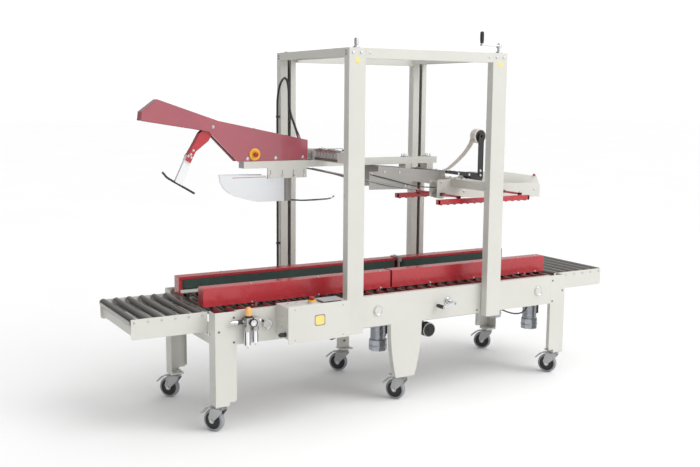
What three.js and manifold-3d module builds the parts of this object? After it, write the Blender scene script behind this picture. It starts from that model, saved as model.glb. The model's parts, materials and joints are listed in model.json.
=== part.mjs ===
// Carton sealer with a random flap folder, side drive belts and top and bottom tape heads.
// Millimetres. +X runs along the carton flow, +Y to the rear, +Z up, and the floor is Z = 0.
import * as THREE from 'three';
import Module from 'manifold-3d';
import { mergeVertices } from 'three/addons/utils/BufferGeometryUtils.js';

const wasm = await Module();
wasm.setup();

// ---------------------------------------------------------------- driving dimensions
const GAP = 0.3;                    // clearance between pieces that touch
const SHEET = 4;                    // folded sheet thickness

const BED_HALF_LENGTH = 1140;
const BED_HALF_WIDTH = 363;
const BED_TOP = 620;
const BED_BOTTOM = 450;
const BED_FLANGE = 30;

const LEG_WIDTH = 113;              // corner leg, along the bed
const LEG_DEPTH = 80;               // corner leg flange, across the bed
const FOOT_LENGTH = 74;             // narrow lower end that carries the caster
const LEG_BOTTOM = 142;
const LEG_STEP = 158;               // where the wider part of a corner leg ends
const END_PLATE_TOP = 560;

const TABLE_HALF_WIDTH = 264;
const TABLE_END = 1530;
const TABLE_TOP = 610;
const TABLE_BOTTOM = 508;

const ROLLER_RADIUS = 22;
const ROLLER_WALL = 2.5;
const ROLLER_AXIS_Z = 593.5;
const TABLE_ROLLERS = 6;
const TABLE_ROLLER_PITCH = 69;
const TABLE_FIRST_ROLLER = 1514;    // distance of the outermost axis from the middle
const BED_ROLLERS = 32;
const BED_ROLLER_PITCH = 69.375;
const DRIVE_X = -81;                // front infeed motor, in a gap between rollers

const COLUMN_WIDTH = 98;
const COLUMN_DEPTH = 50;
const COLUMN_TOP = 1923;
const COLUMN_BOTTOM = 437;
const COLUMN_X = [-375, 544];       // middle of the folder columns and the tape columns
const SLOT_WIDTH = 20;
const SLOT_OFFSET = 6;
const SCREW_RADIUS = 10;

const GUARD_OUTER = 210;            // distance of the belt guard's outer face from the middle
const GUARD_LIP = 140;
const GUARD_BOTTOM = 619;
const GUARD_TOP = 716;
const GUARD_ENDS = [-1140, 1100];
const BELT_INNER = 134;             // face that grips the carton
const BELT_RADIUS = 31;
const BELT_BOTTOM = 651;
const BELT_HEIGHT = 50;
const JOINT_FRONT = -20;            // where the infeed and outfeed belts meet
const JOINT_REAR = 257;
const MOTOR_Y = 175;

const HEAD_HALF_WIDTH = 31;         // folder housing
const LIFT_BEAM_Z = [1297, 1334];   // long beam of the folder carriage
const LIFT_BEAM_X = [-835, 398];
const PRESS_PLATE_Y = 36;           // half-width of the nose plate under the folder
const PRESS_PLATE_TOP = 1241;
const PRESS_PLATE_END = -530;

const TAPE_HEAD_X = [402, 1196];
const TAPE_PLATE_Y = 40;
const TAPE_BEAM_Z = [1152, 1200];
const TAPE_ROLL = { x: 728, z: 1448, radius: 44 };
const LOWER_HUB = { x: 380, z: 287, radius: 44 };

const CASTER_X = [-1103, -16, 1103];
const CASTER_Y = 323;
const CASTER_TRAIL = 35;
const CASTER_TURN = { front: -58, rear: -46 };  // degrees that each swivel stands at
const WHEEL_RADIUS = 57;
const WHEEL_WIDTH = 32;

const BOX_X = [-810, -460];
const BOX_Y = [-505, -363.3];
const BOX_Z = [478, 638];
const BOX_STOP = [-645, -440];

// ---------------------------------------------------------------- colours
const CREAM = { color: 0xe2e2da, roughness: 0.45, metalness: 0.0 };
const RED = { color: 0xac3c40, roughness: 0.35, metalness: 0.0 };
const DARK_STEEL = { color: 0x5f5a55, roughness: 0.35, metalness: 0.8 };
const ZINC = { color: 0xb4b6b8, roughness: 0.35, metalness: 0.9 };
const BELT_GREEN = { color: 0x3c5048, roughness: 0.8, metalness: 0.0 };
const MOTOR_GREY = { color: 0x787d87, roughness: 0.4, metalness: 0.6 };
const BLACK = { color: 0x2a2a2c, roughness: 0.6, metalness: 0.0 };
const WHITE = { color: 0xe8e9ea, roughness: 0.4, metalness: 0.0 };
const TYRE_GREY = { color: 0xa5a9ad, roughness: 0.8, metalness: 0.0 };
const BUTTON_RED = { color: 0xc8281e, roughness: 0.3, metalness: 0.0 };
const TAPE_TAN = { color: 0xb9aca0, roughness: 0.3, metalness: 0.0 };

// ---------------------------------------------------------------- shape helpers
function solid(geometry) {
  const bare = geometry.clone();
  bare.deleteAttribute('normal');
  bare.deleteAttribute('uv');
  const merged = mergeVertices(bare, 1e-4);
  return new wasm.Manifold(new wasm.Mesh({
    numProp: 3,
    vertProperties: new Float32Array(merged.attributes.position.array),
    triVerts: new Uint32Array(merged.index.array),
  }));
}

function join(first, ...others) {
  return others.reduce((sum, other) => sum.add(other), first);
}

function box([x0, x1], [y0, y1], [z0, z1]) {
  const geometry = new THREE.BoxGeometry(x1 - x0, y1 - y0, z1 - z0);
  geometry.translate((x0 + x1) / 2, (y0 + y1) / 2, (z0 + z1) / 2);
  return solid(geometry);
}

function rod(from, to, radius, sides = 12) {
  const start = new THREE.Vector3(...from);
  const end = new THREE.Vector3(...to);
  const along = end.clone().sub(start);
  const geometry = new THREE.CylinderGeometry(radius, radius, along.length(), sides);
  const upright = new THREE.Vector3(0, 1, 0);
  const turn = new THREE.Quaternion().setFromUnitVectors(upright, along.clone().normalize());
  geometry.applyQuaternion(turn);
  geometry.translate(...start.add(end).multiplyScalar(0.5).toArray());
  return solid(geometry);
}

function outline(points) {
  if (points instanceof THREE.Shape) return points;
  return new THREE.Shape(points.map(([a, b]) => new THREE.Vector2(a, b)));
}

function extruded(points, depth, curveSegments) {
  return new THREE.ExtrudeGeometry(outline(points), { depth, bevelEnabled: false, curveSegments });
}

// A side view (x, z) given thickness from y0 to y1.
function sideProfile(points, [y0, y1], curveSegments = 6) {
  const geometry = extruded(points, y1 - y0, curveSegments);
  geometry.rotateX(Math.PI / 2);
  geometry.translate(0, y1, 0);
  return solid(geometry);
}

// A plan view (x, y) given height from z0 to z1.
function planProfile(points, [z0, z1], curveSegments = 6) {
  const geometry = extruded(points, z1 - z0, curveSegments);
  geometry.translate(0, 0, z0);
  return solid(geometry);
}

// An end view (y, z) given length from x0 to x1.
function endProfile(points, [x0, x1]) {
  const geometry = extruded(points, x1 - x0, 6);
  const basis = new THREE.Matrix4().makeBasis(
    new THREE.Vector3(0, 1, 0), new THREE.Vector3(0, 0, 1), new THREE.Vector3(1, 0, 0));
  geometry.applyMatrix4(basis);
  geometry.translate(x0, 0, 0);
  return solid(geometry);
}

function tubeAlong(points, radius, steps, sides) {
  const path = new THREE.CatmullRomCurve3(points.map((p) => new THREE.Vector3(...p)), false, 'centripetal');
  const section = new THREE.Shape();
  for (let i = 0; i < sides; i += 1) {
    const angle = (2 * Math.PI * i) / sides;
    const point = [radius * Math.cos(angle), radius * Math.sin(angle)];
    if (i === 0) section.moveTo(...point);
    else section.lineTo(...point);
  }
  section.closePath();
  return solid(new THREE.ExtrudeGeometry(section, { steps, extrudePath: path, bevelEnabled: false }));
}

function mirrorY(piece) {
  return piece.mirror([0, 1, 0]);
}

function bothSides(piece) {
  return join(piece, mirrorY(piece));
}

function toGeometry(piece) {
  const mesh = piece.getMesh();
  const geometry = new THREE.BufferGeometry();
  geometry.setAttribute('position', new THREE.BufferAttribute(mesh.vertProperties, 3));
  geometry.setIndex(new THREE.BufferAttribute(mesh.triVerts, 1));
  geometry.computeVertexNormals();
  return geometry;
}

// ---------------------------------------------------------------- assembly
const machine = new THREE.Group();
// The control box reaches further forward than the columns reach back, so the origin
// sits midway between them and the carton path runs a little behind it.
machine.position.y = -(BOX_Y[0] + BED_HALF_WIDTH + SHEET + COLUMN_DEPTH) / 2;

function add(name, piece, look, parent = machine) {
  const mesh = new THREE.Mesh(toGeometry(piece), new THREE.MeshStandardMaterial(look));
  mesh.name = name;
  parent.add(mesh);
  return mesh;
}

// ---------------------------------------------------------------- bed
const sidePlateX = [-BED_HALF_LENGTH + LEG_WIDTH + GAP, BED_HALF_LENGTH - LEG_WIDTH - GAP];
const CENTRE_LEG_TOP = [-116, 88];
const CENTRE_LEG_FOOT = [-78, 44];
const CENTRE_LEG_DEPTH = 38;

function centreLegOutline(inset, topZ) {
  const shape = new THREE.Shape();
  const left = CENTRE_LEG_TOP[0] + inset;
  const right = CENTRE_LEG_TOP[1] - inset;
  shape.moveTo(left, topZ);
  shape.quadraticCurveTo(left, 290, CENTRE_LEG_FOOT[0] + inset, LEG_BOTTOM + inset);
  shape.lineTo(CENTRE_LEG_FOOT[1] - inset, LEG_BOTTOM + inset);
  shape.quadraticCurveTo(right, 290, right, topZ);
  shape.closePath();
  return shape;
}

// Side plate with its flanges, drawn for the front.
function sidePlate() {
  const outer = -BED_HALF_WIDTH;
  const inner = outer + SHEET;
  const plate = box(sidePlateX, [outer, inner], [BED_BOTTOM, BED_TOP]);
  const topFlange = box(sidePlateX, [outer, outer + BED_FLANGE], [BED_TOP - SHEET, BED_TOP]);
  const bottomFlange = box(sidePlateX, [outer, outer + BED_FLANGE], [BED_BOTTOM, BED_BOTTOM + SHEET]);
  return join(plate, topFlange, bottomFlange);
}

function centreLeg() {
  const outer = -BED_HALF_WIDTH;
  const leg = sideProfile(centreLegOutline(0, BED_BOTTOM + 1), [outer, outer + CENTRE_LEG_DEPTH]);
  const inside = [outer + SHEET, outer + CENTRE_LEG_DEPTH + 1];
  const hollow = sideProfile(centreLegOutline(SHEET, BED_BOTTOM), inside);
  const foot = box(CENTRE_LEG_FOOT, [outer, -CASTER_Y + 40], [LEG_BOTTOM, LEG_BOTTOM + 6]);
  return join(leg.subtract(hollow), foot);
}

// The rear centre caster stands under a narrow post.
function centrePost() {
  const outer = -BED_HALF_WIDTH;
  const postX = [-44, 22];
  const post = box(postX, [outer, outer + CENTRE_LEG_DEPTH], [LEG_BOTTOM, BED_BOTTOM + 1]);
  const hollowX = [postX[0] + SHEET, postX[1] - SHEET];
  const hollowY = [outer - 1, outer + CENTRE_LEG_DEPTH - SHEET];
  const hollow = box(hollowX, hollowY, [LEG_BOTTOM + SHEET, BED_BOTTOM]);
  const foot = box([-51, 28], [outer, -CASTER_Y + 36], [LEG_BOTTOM, LEG_BOTTOM + 6]);
  return join(post.subtract(hollow), foot);
}

const shaftCapX = [-860, -200, 927];
const SHAFT_CAP_RADIUS = 29;
const SHAFT_CAP_Z = 537;
const caps = shaftCapX.map((x) => rod(
  [x, -BED_HALF_WIDTH - 5, SHAFT_CAP_Z], [x, -BED_HALF_WIDTH + 1, SHAFT_CAP_Z], SHAFT_CAP_RADIUS, 16));
add('bed_side_front', join(sidePlate(), centreLeg(), ...caps), CREAM);
add('bed_side_rear', mirrorY(join(sidePlate(), centrePost(), ...caps)), CREAM);

// One end of the bed: two corner legs and the plate between them.
function endFrame() {
  const endX = [-BED_HALF_LENGTH, -BED_HALF_LENGTH + SHEET];
  const webX = [-BED_HALF_LENGTH, -BED_HALF_LENGTH + LEG_WIDTH];
  const footX = [-BED_HALF_LENGTH, -BED_HALF_LENGTH + FOOT_LENGTH];
  const outer = -BED_HALF_WIDTH;
  const corner = 14;
  const web = new THREE.Shape();
  web.moveTo(webX[0], BED_TOP);
  web.lineTo(webX[0], LEG_BOTTOM);
  web.lineTo(footX[1], LEG_BOTTOM);
  web.lineTo(footX[1], LEG_STEP);
  web.lineTo(webX[1] - corner, LEG_STEP);
  web.quadraticCurveTo(webX[1], LEG_STEP, webX[1], LEG_STEP + corner);
  web.lineTo(webX[1], BED_TOP);
  web.closePath();
  const webPlate = sideProfile(web, [outer, outer + SHEET]);
  const flange = box(endX, [outer, outer + LEG_DEPTH], [LEG_BOTTOM, GUARD_BOTTOM - 2]);
  const lipTop = ROLLER_AXIS_Z - ROLLER_RADIUS - 4;
  const lip = box([webX[1] - SHEET, webX[1]], [outer, outer + 25], [LEG_STEP + corner, lipTop]);
  const foot = box(footX, [outer, outer + LEG_DEPTH], [LEG_BOTTOM, LEG_BOTTOM + 6]);
  const leg = join(webPlate, flange, lip, foot);
  const tie = outer + LEG_DEPTH - 1;
  const endPlate = box(endX, [tie, -tie], [BED_BOTTOM, END_PLATE_TOP]);
  const endFlange = box([endX[0], endX[0] + 25], [tie, -tie], [BED_BOTTOM, BED_BOTTOM + SHEET]);
  return join(bothSides(leg), endPlate, endFlange);
}

add('end_frame_infeed', endFrame(), CREAM);
add('end_frame_outfeed', endFrame().mirror([1, 0, 0]), CREAM);

// ---------------------------------------------------------------- extension tables
function extensionTable() {
  const startX = -TABLE_END;
  const endX = -BED_HALF_LENGTH - GAP;
  const round = 16;
  const side = new THREE.Shape();
  side.moveTo(startX + 6, TABLE_TOP);
  side.quadraticCurveTo(startX, TABLE_TOP, startX, TABLE_TOP - 6);
  side.lineTo(startX, TABLE_BOTTOM + round);
  side.quadraticCurveTo(startX, TABLE_BOTTOM, startX + round, TABLE_BOTTOM);
  side.lineTo(endX, TABLE_BOTTOM);
  side.lineTo(endX, TABLE_TOP);
  side.closePath();
  const plate = sideProfile(side, [-TABLE_HALF_WIDTH, -TABLE_HALF_WIDTH + SHEET], 3);
  const inside = [-TABLE_HALF_WIDTH + 1, TABLE_HALF_WIDTH - 1];
  const outerBar = box([startX + 14, startX + 28], inside, [520, 566]);
  const innerBar = box([endX - SHEET, endX], inside, [512, END_PLATE_TOP]);
  return join(bothSides(plate), outerBar, innerBar);
}

add('infeed_table_frame', extensionTable(), CREAM);
add('outfeed_table_frame', extensionTable().mirror([1, 0, 0]), CREAM);

// ---------------------------------------------------------------- roller decks
// Each deck's hollow rollers are one node: a thin tie along the deck keeps them together.
function tie(span, y) {
  return box(span, [y - 4, y + 4], [ROLLER_AXIS_Z - 3, ROLLER_AXIS_Z + 3]);
}

function rollerDeck(positions, half, tieY) {
  const rollers = positions.map((x) => {
    const ends = (reach) => [[x, -reach, ROLLER_AXIS_Z], [x, reach, ROLLER_AXIS_Z]];
    const bore = rod(...ends(half + 1), ROLLER_RADIUS - ROLLER_WALL, 8);
    return rod(...ends(half), ROLLER_RADIUS, 8).subtract(bore);
  });
  return join(...rollers, tie([positions[0], positions[positions.length - 1]], tieY));
}

function evenly(first, pitch, count) {
  return Array.from({ length: count }, (_, i) => first + i * pitch);
}

const tableRollerX = evenly(-TABLE_FIRST_ROLLER, TABLE_ROLLER_PITCH, TABLE_ROLLERS);
const tableDeck = rollerDeck(tableRollerX, TABLE_HALF_WIDTH - SHEET - GAP, 0);
add('infeed_rollers', tableDeck, DARK_STEEL);
add('outfeed_rollers', tableDeck.mirror([1, 0, 0]), DARK_STEEL);

const bedRollerX = evenly(DRIVE_X - BED_ROLLER_PITCH * 14.5, BED_ROLLER_PITCH, BED_ROLLERS);
const bedDeck = rollerDeck(bedRollerX, BED_HALF_WIDTH - SHEET - GAP, 70);
// The rollers are split round the lower tape head.
const TAPE_WELL_X = [206, 614];
const tapeWell = box(TAPE_WELL_X, [-52, 52], [560, 640]);
const frontTie = tie([TAPE_WELL_X[0] - BED_ROLLER_PITCH, TAPE_WELL_X[1] + BED_ROLLER_PITCH], -70);
add('bed_rollers', join(bedDeck, frontTie).subtract(tapeWell), DARK_STEEL);

// ---------------------------------------------------------------- gantry
const columnInner = BED_HALF_WIDTH + SHEET;          // face of a column nearest the middle
const columnOuter = columnInner + COLUMN_DEPTH;

function column(centreX) {
  const half = COLUMN_WIDTH / 2;
  const slotLeft = centreX + SLOT_OFFSET - SLOT_WIDTH / 2;
  const slotRight = slotLeft + SLOT_WIDTH;
  const section = [
    [slotLeft, -columnInner], [centreX - half, -columnInner], [centreX - half, -columnOuter],
    [centreX + half, -columnOuter], [centreX + half, -columnInner], [slotRight, -columnInner],
    [slotRight, -columnInner - SHEET], [centreX + half - SHEET, -columnInner - SHEET],
    [centreX + half - SHEET, -columnOuter + SHEET], [centreX - half + SHEET, -columnOuter + SHEET],
    [centreX - half + SHEET, -columnInner - SHEET], [slotLeft, -columnInner - SHEET],
  ];
  return planProfile(section, [COLUMN_BOTTOM, COLUMN_TOP]);
}

const columnNames = ['folder', 'tape'];
COLUMN_X.forEach((x, i) => {
  add(`${columnNames[i]}_column_front`, column(x), CREAM);
  add(`${columnNames[i]}_column_rear`, mirrorY(column(x)), CREAM);
});

function topFrame() {
  const half = COLUMN_WIDTH / 2;
  const longX = [COLUMN_X[0] + half + GAP, COLUMN_X[1] - half - GAP];
  const longBeam = box(longX, [-columnOuter, -columnInner + 14], [COLUMN_TOP - 52, COLUMN_TOP]);
  const coverWidth = COLUMN_WIDTH + 16;
  const crossY = [-columnInner + GAP, columnInner - GAP];
  const crossZ = [COLUMN_TOP - 41, COLUMN_TOP];
  const left = COLUMN_X[0] - half;
  const right = COLUMN_X[1] + half;
  const covers = [
    box([left, left + coverWidth], crossY, crossZ),
    box([right - coverWidth, right], crossY, crossZ),
  ];
  const insideY = [-columnInner + 30, columnInner - 30];
  const insideZ = [COLUMN_TOP - 60, COLUMN_TOP - SHEET];
  const ring = join(bothSides(longBeam), ...covers);
  return ring
    .subtract(box([left + SHEET, left + COLUMN_WIDTH], insideY, insideZ))
    .subtract(box([right - COLUMN_WIDTH, right - SHEET], insideY, insideZ));
}

add('top_frame', topFrame(), CREAM);

// ---------------------------------------------------------------- lifting screws
const screwY = -(columnInner + columnOuter) / 2;
const screwX = COLUMN_X.map((x) => x + SLOT_OFFSET);

function liftScrew(x, shaftTop) {
  const thread = rod([x, screwY, COLUMN_BOTTOM + 9], [x, screwY, shaftTop], SCREW_RADIUS, 12);
  const collar = rod([x, screwY, COLUMN_TOP + GAP], [x, screwY, COLUMN_TOP + 8], 17, 16);
  return join(thread, collar);
}

const CRANK_ARM = 119;
const CRANK_Z = 1968;

function liftCrank(x) {
  const grip = x - CRANK_ARM;
  return join(
    liftScrew(x, CRANK_Z),
    rod([x, screwY, CRANK_Z - 22], [x, screwY, CRANK_Z + 6], 15, 16),
    box([grip - 10, x], [screwY - 9, screwY + 9], [CRANK_Z - 8, CRANK_Z]),
    rod([grip, screwY, CRANK_Z - 4], [grip, screwY, CRANK_Z + 70], 11, 16));
}

add('folder_lift_screw', liftScrew(screwX[0], COLUMN_TOP + 50), ZINC);
add('tape_lift_crank', liftCrank(screwX[1]), ZINC);

// Carriage cross beam with a nut block inside each column.
function crossBeam(columnX, screw, xRange, zRange) {
  const half = COLUMN_WIDTH / 2;
  const inset = ([a, b]) => [a + SHEET, b - SHEET];
  const hollow = box(inset(xRange), [-columnInner, 1], inset(zRange));
  const beam = box(xRange, [-columnInner + GAP, 0], zRange).subtract(hollow);
  const neckX = [screw - SLOT_WIDTH / 2 + 1, screw + SLOT_WIDTH / 2 - 1];
  const neck = box(neckX, [-columnInner - 8, -columnInner + 10], zRange);
  const blockX = [columnX - half + SHEET + 1, columnX + half - SHEET - 1];
  const block = box(blockX, [-columnOuter + SHEET + 1, -columnInner - SHEET - 1], zRange);
  const hole = rod([screw, screwY, zRange[0] - 5], [screw, screwY, zRange[1] + 5], SCREW_RADIUS + 1, 12);
  return bothSides(join(beam, neck, block.subtract(hole)));
}

// ---------------------------------------------------------------- folder carriage
const folderBeamZ = [LIFT_BEAM_Z[1] - 1, 1386];

function folderCarriage() {
  const cross = crossBeam(COLUMN_X[0], screwX[0], [-420, -330], folderBeamZ);
  const hollowZ = [LIFT_BEAM_Z[0] + SHEET, LIFT_BEAM_Z[1] - SHEET];
  const beamHollow = box([LIFT_BEAM_X[0] + SHEET, LIFT_BEAM_X[1] + 1], [-31, 31], hollowZ);
  const beam = box(LIFT_BEAM_X, [-35, 35], LIFT_BEAM_Z).subtract(beamHollow);
  const plateBracket = box([-698, -465], [-PRESS_PLATE_Y, -26], [PRESS_PLATE_TOP, LIFT_BEAM_Z[0] + 1]);
  const plateTab = box([-690, -612], [-PRESS_PLATE_Y + SHEET + GAP, -26], [1215, PRESS_PLATE_TOP + 1]);
  const hangers = [[178, 213], [330, 372]].map((x) => box(x, [-35, 35], [1262, LIFT_BEAM_Z[0] + 1]));
  return join(cross, beam, plateBracket, plateTab, ...hangers);
}

add('folder_carriage', folderCarriage(), CREAM);

const FOLDER_SIDE = [
  [-1385, 1550], [-1379, 1594], [-1297, 1655], [-973, 1547], [-457, 1443],
  [-457, LIFT_BEAM_Z[1] + GAP], [-869, LIFT_BEAM_Z[1] + GAP], [-1028, 1492], [-1077, 1502],
];
const FOLDER_SKIN = 3;
const STOP_BUTTON = { x: -772, z: 1371 };

function folderHousing() {
  const shell = sideProfile(FOLDER_SIDE, [-HEAD_HALF_WIDTH, HEAD_HALF_WIDTH]);
  // The channel is open underneath, where the kicker swings out.
  const inside = sideProfile([
    [-1376, 1530], [-1370, 1591], [-1294, 1650], [-974, 1543], [-460, 1440],
    [-460, 1320], [-860, 1320], [-1022, 1480], [-1077, 1480],
  ], [-HEAD_HALF_WIDTH + FOLDER_SKIN, HEAD_HALF_WIDTH - FOLDER_SKIN]);
  const faceY = -HEAD_HALF_WIDTH;
  const { x, z } = STOP_BUTTON;
  const stopBase = rod([x, faceY - 6, z], [x, faceY + 1, z], 31, 20);
  const stopHole = rod([x, faceY - 7, z], [x, faceY + 5, z], 10, 12);
  const hoseGland = rod([-498, -9, 1449], [-498, 4, 1467], 10, 12);
  return join(shell.subtract(inside), stopBase, hoseGland).subtract(stopHole);
}

add('folder_housing', folderHousing(), RED);

function stopButton(x, y, z) {
  const cap = rod([x, y - 26, z], [x, y - 12, z], 15, 16);
  const stem = rod([x, y - 13, z], [x, y - 1, z], 9, 12);
  return join(cap, stem);
}

add('folder_stop_button', stopButton(STOP_BUTTON.x, -HEAD_HALF_WIDTH, STOP_BUTTON.z), BUTTON_RED);

function kickerArm() {
  const bracket = sideProfile([
    [-1018, 1532], [-992, 1528], [-994, 1500], [-1025, 1445], [-1096, 1390],
    [-1118, 1350], [-1145, 1366], [-1112, 1416], [-1073, 1485],
  ], [-20, 20]);
  const paddle = sideProfile([[-1145, 1372], [-1114, 1352], [-1168, 1217], [-1207, 1240]], [-12, 12]);
  const skidPoints = [[-1270, 0, 1292], [-1239, 0, 1258], [-1176, 0, 1221], [-1095, 0, 1173]];
  const skid = tubeAlong(skidPoints, 6, 8, 6);
  return join(bracket, paddle, skid);
}

add('kicker_arm', kickerArm(), RED);

// Bent nose plate that holds the closed flaps down: narrow at the front, rounded at the back.
function pressPlate() {
  const side = new THREE.Shape();
  side.moveTo(-704, 1259);
  side.lineTo(-974, 1269);
  side.bezierCurveTo(-972, 1177, -888, 1147, -761, 1119);
  side.lineTo(PRESS_PLATE_END, 1117);
  side.lineTo(PRESS_PLATE_END, PRESS_PLATE_TOP - GAP);
  side.lineTo(-704, PRESS_PLATE_TOP - GAP);
  side.closePath();
  const hollowSide = new THREE.Shape();
  hollowSide.moveTo(-638, 1300);
  hollowSide.lineTo(-978, 1300);
  hollowSide.lineTo(-966, 1247);
  hollowSide.bezierCurveTo(-952, 1187, -878, 1153, -760, 1123);
  hollowSide.lineTo(PRESS_PLATE_END, 1121);
  hollowSide.lineTo(PRESS_PLATE_END, 1300);
  hollowSide.closePath();
  const plan = (wall) => {
    const half = PRESS_PLATE_Y - wall;
    const bend = 2 * PRESS_PLATE_Y;
    const shape = new THREE.Shape();
    shape.moveTo(-1000, -half);
    shape.lineTo(PRESS_PLATE_END - bend, -half);
    const stop = -Math.asin(wall / (bend - wall));
    shape.absarc(PRESS_PLATE_END - bend, PRESS_PLATE_Y, bend - wall, -Math.PI / 2, stop);
    shape.lineTo(-760, half);
    shape.lineTo(-1000, half - 60);
    shape.closePath();
    return shape;
  };
  const width = [-PRESS_PLATE_Y - 1, PRESS_PLATE_Y + 1];
  const outer = sideProfile(side, width).intersect(planProfile(plan(0), [1100, 1310]));
  const inner = sideProfile(hollowSide, width).intersect(planProfile(plan(SHEET), [1110, 1305]));
  const skidPoints = [[-600, 0, 1120], [-540, 0, 1117], [-457, 0, 1111], [-309, 0, 1114], [-273, 0, 1128]];
  const skid = tubeAlong(skidPoints, 4, 10, 6);
  return join(outer.subtract(inner), skid);
}

add('press_plate', pressPlate(), WHITE);

function flapPlow() {
  const plate = sideProfile([
    [-119, 1265], [-61, 1265], [-61, 1296], [99, 1281], [363, 1256], [379, 1209],
    [143, 1200], [143, 1160], [-118, 1165],
  ], [-124, -120]);
  const guidePoints = [
    [-440, -48, 1288], [-238, -80, 1245], [-110, -121, 1212], [10, -140, 1186], [150, -172, 1160],
  ];
  const guideRod = tubeAlong(guidePoints, 5, 10, 6);
  const ties = [
    box([180, 211], [-121, 121], [1250, 1262 - GAP]),
    box([332, 370], [-121, 121], [1246, 1262 - GAP]),
  ];
  return join(bothSides(join(plate, guideRod)), ...ties);
}

add('flap_plow', flapPlow(), ZINC);

// ---------------------------------------------------------------- tape carriage
add('tape_carriage_beam', crossBeam(COLUMN_X[1], screwX[1], [503, 585], TAPE_BEAM_Z), CREAM);

function tapeHeadFrame() {
  const [left, right] = TAPE_HEAD_X;
  const notch = box([503 - GAP, 585 + GAP], [-60, 60], [TAPE_BEAM_Z[0] - GAP, 1300]);
  const front = sideProfile([
    [left, 1092], [right, 1062], [right, 1138], [right - 14, 1151],
    [900, 1160], [636, 1161], [606, 1201], [left, 1196],
  ], [-TAPE_PLATE_Y, -TAPE_PLATE_Y + SHEET]);
  const rear = sideProfile([
    [left, 1092], [1252, 1060], [1254, 1140], [1232, 1186],
    [968, 1221], [650, 1232], [606, 1201], [left, 1196],
  ], [TAPE_PLATE_Y - SHEET, TAPE_PLATE_Y]);
  const spacerAt = [[430, 1180], [600, 1120], [860, 1100], [1150, 1110]];
  const spacers = spacerAt.map(([x, z]) => rod([x, -TAPE_PLATE_Y + 1, z], [x, TAPE_PLATE_Y - 1, z], 9, 10));
  const applyRoller = rod([440, -TAPE_PLATE_Y + 2, 1104], [440, TAPE_PLATE_Y - 2, 1104], 22, 16);
  const exitRoller = rod([1100, -TAPE_PLATE_Y + 2, 1082], [1100, TAPE_PLATE_Y - 2, 1082], 22, 16);
  return join(front.subtract(notch), rear.subtract(notch), ...spacers, applyRoller, exitRoller);
}

add('tape_head_frame', tapeHeadFrame(), CREAM);

function tapeBracket() {
  const y = [-34, -26];
  const post = sideProfile([[706, 1190], [746, 1190], [746, 1440], [736, 1466], [716, 1466], [706, 1440]], y);
  const arm = sideProfile([[471, 1232], [471, 1250], [720, 1224], [720, 1196]], y);
  const base = box([650, 740], [-TAPE_PLATE_Y + SHEET + GAP, TAPE_PLATE_Y - SHEET - GAP], [1168, 1212]);
  const guideRoller = rod([478, -30, 1240], [478, 28, 1240], 9, 12);
  return join(post, arm, base, guideRoller);
}

add('tape_roll_bracket', tapeBracket(), BLACK);

function tapeRoll({ x, z, radius }) {
  const tape = rod([x, -22, z], [x, 26, z], radius, 24);
  const hub = rod([x, -26 + GAP, z], [x, 30, z], 24, 16);
  return join(tape, hub);
}

add('tape_roll', tapeRoll(TAPE_ROLL), TAPE_TAN);

// Roller rack beside the tape head that holds the carton's top edge down.
function pressRack() {
  const rail = box([280, 950], [-230, -202], [1072, 1100]);
  const wheels = [];
  for (let x = 310; x < 950; x += 95) wheels.push(rod([x, -222, 1072], [x, -210, 1072], 11, 8));
  const armX = [[424, 446], [880, 902]];
  const arms = armX.map((x) => box(x, [-203, -TAPE_PLATE_Y - GAP], [1104, 1116]));
  const posts = armX.map((x) => box(x, [-216, -202], [1090, 1116]));
  return join(rail, ...wheels, ...arms, ...posts);
}

add('press_rack_front', pressRack(), RED);
add('press_rack_rear', mirrorY(pressRack()), RED);

// ---------------------------------------------------------------- lower tape head
function lowerTapeHead() {
  const plate = sideProfile([[240, 520], [560, 520], [590, 590], [575, 612], [236, 612], [226, 590]],
    [-TAPE_PLATE_Y, -TAPE_PLATE_Y + SHEET]);
  const spacerAt = [[280, 545], [540, 545], [400, 600]];
  const spacers = spacerAt.map(([x, z]) => rod([x, -TAPE_PLATE_Y + 1, z], [x, TAPE_PLATE_Y - 1, z], 9, 10));
  const reach = BED_HALF_WIDTH - SHEET - GAP;
  const rails = [[262, 286], [536, 560]].map((x) => box(x, [-reach, reach], [500, 522]));
  const arm = box([350, 374], [29, TAPE_PLATE_Y], [275, 540]);
  const axle = rod([LOWER_HUB.x, 36, LOWER_HUB.z], [LOWER_HUB.x, 30, LOWER_HUB.z], 16, 12);
  return join(bothSides(plate), ...spacers, ...rails, arm, axle);
}

add('lower_tape_head', lowerTapeHead(), CREAM);
const lowerHub = rod([LOWER_HUB.x, -22, LOWER_HUB.z], [LOWER_HUB.x, 26, LOWER_HUB.z], LOWER_HUB.radius, 24);
const lowerBoss = rod([LOWER_HUB.x, 0, LOWER_HUB.z], [LOWER_HUB.x, 29 - GAP, LOWER_HUB.z], 20, 16);
add('lower_tape_hub', join(lowerHub, lowerBoss), BLACK);

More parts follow.
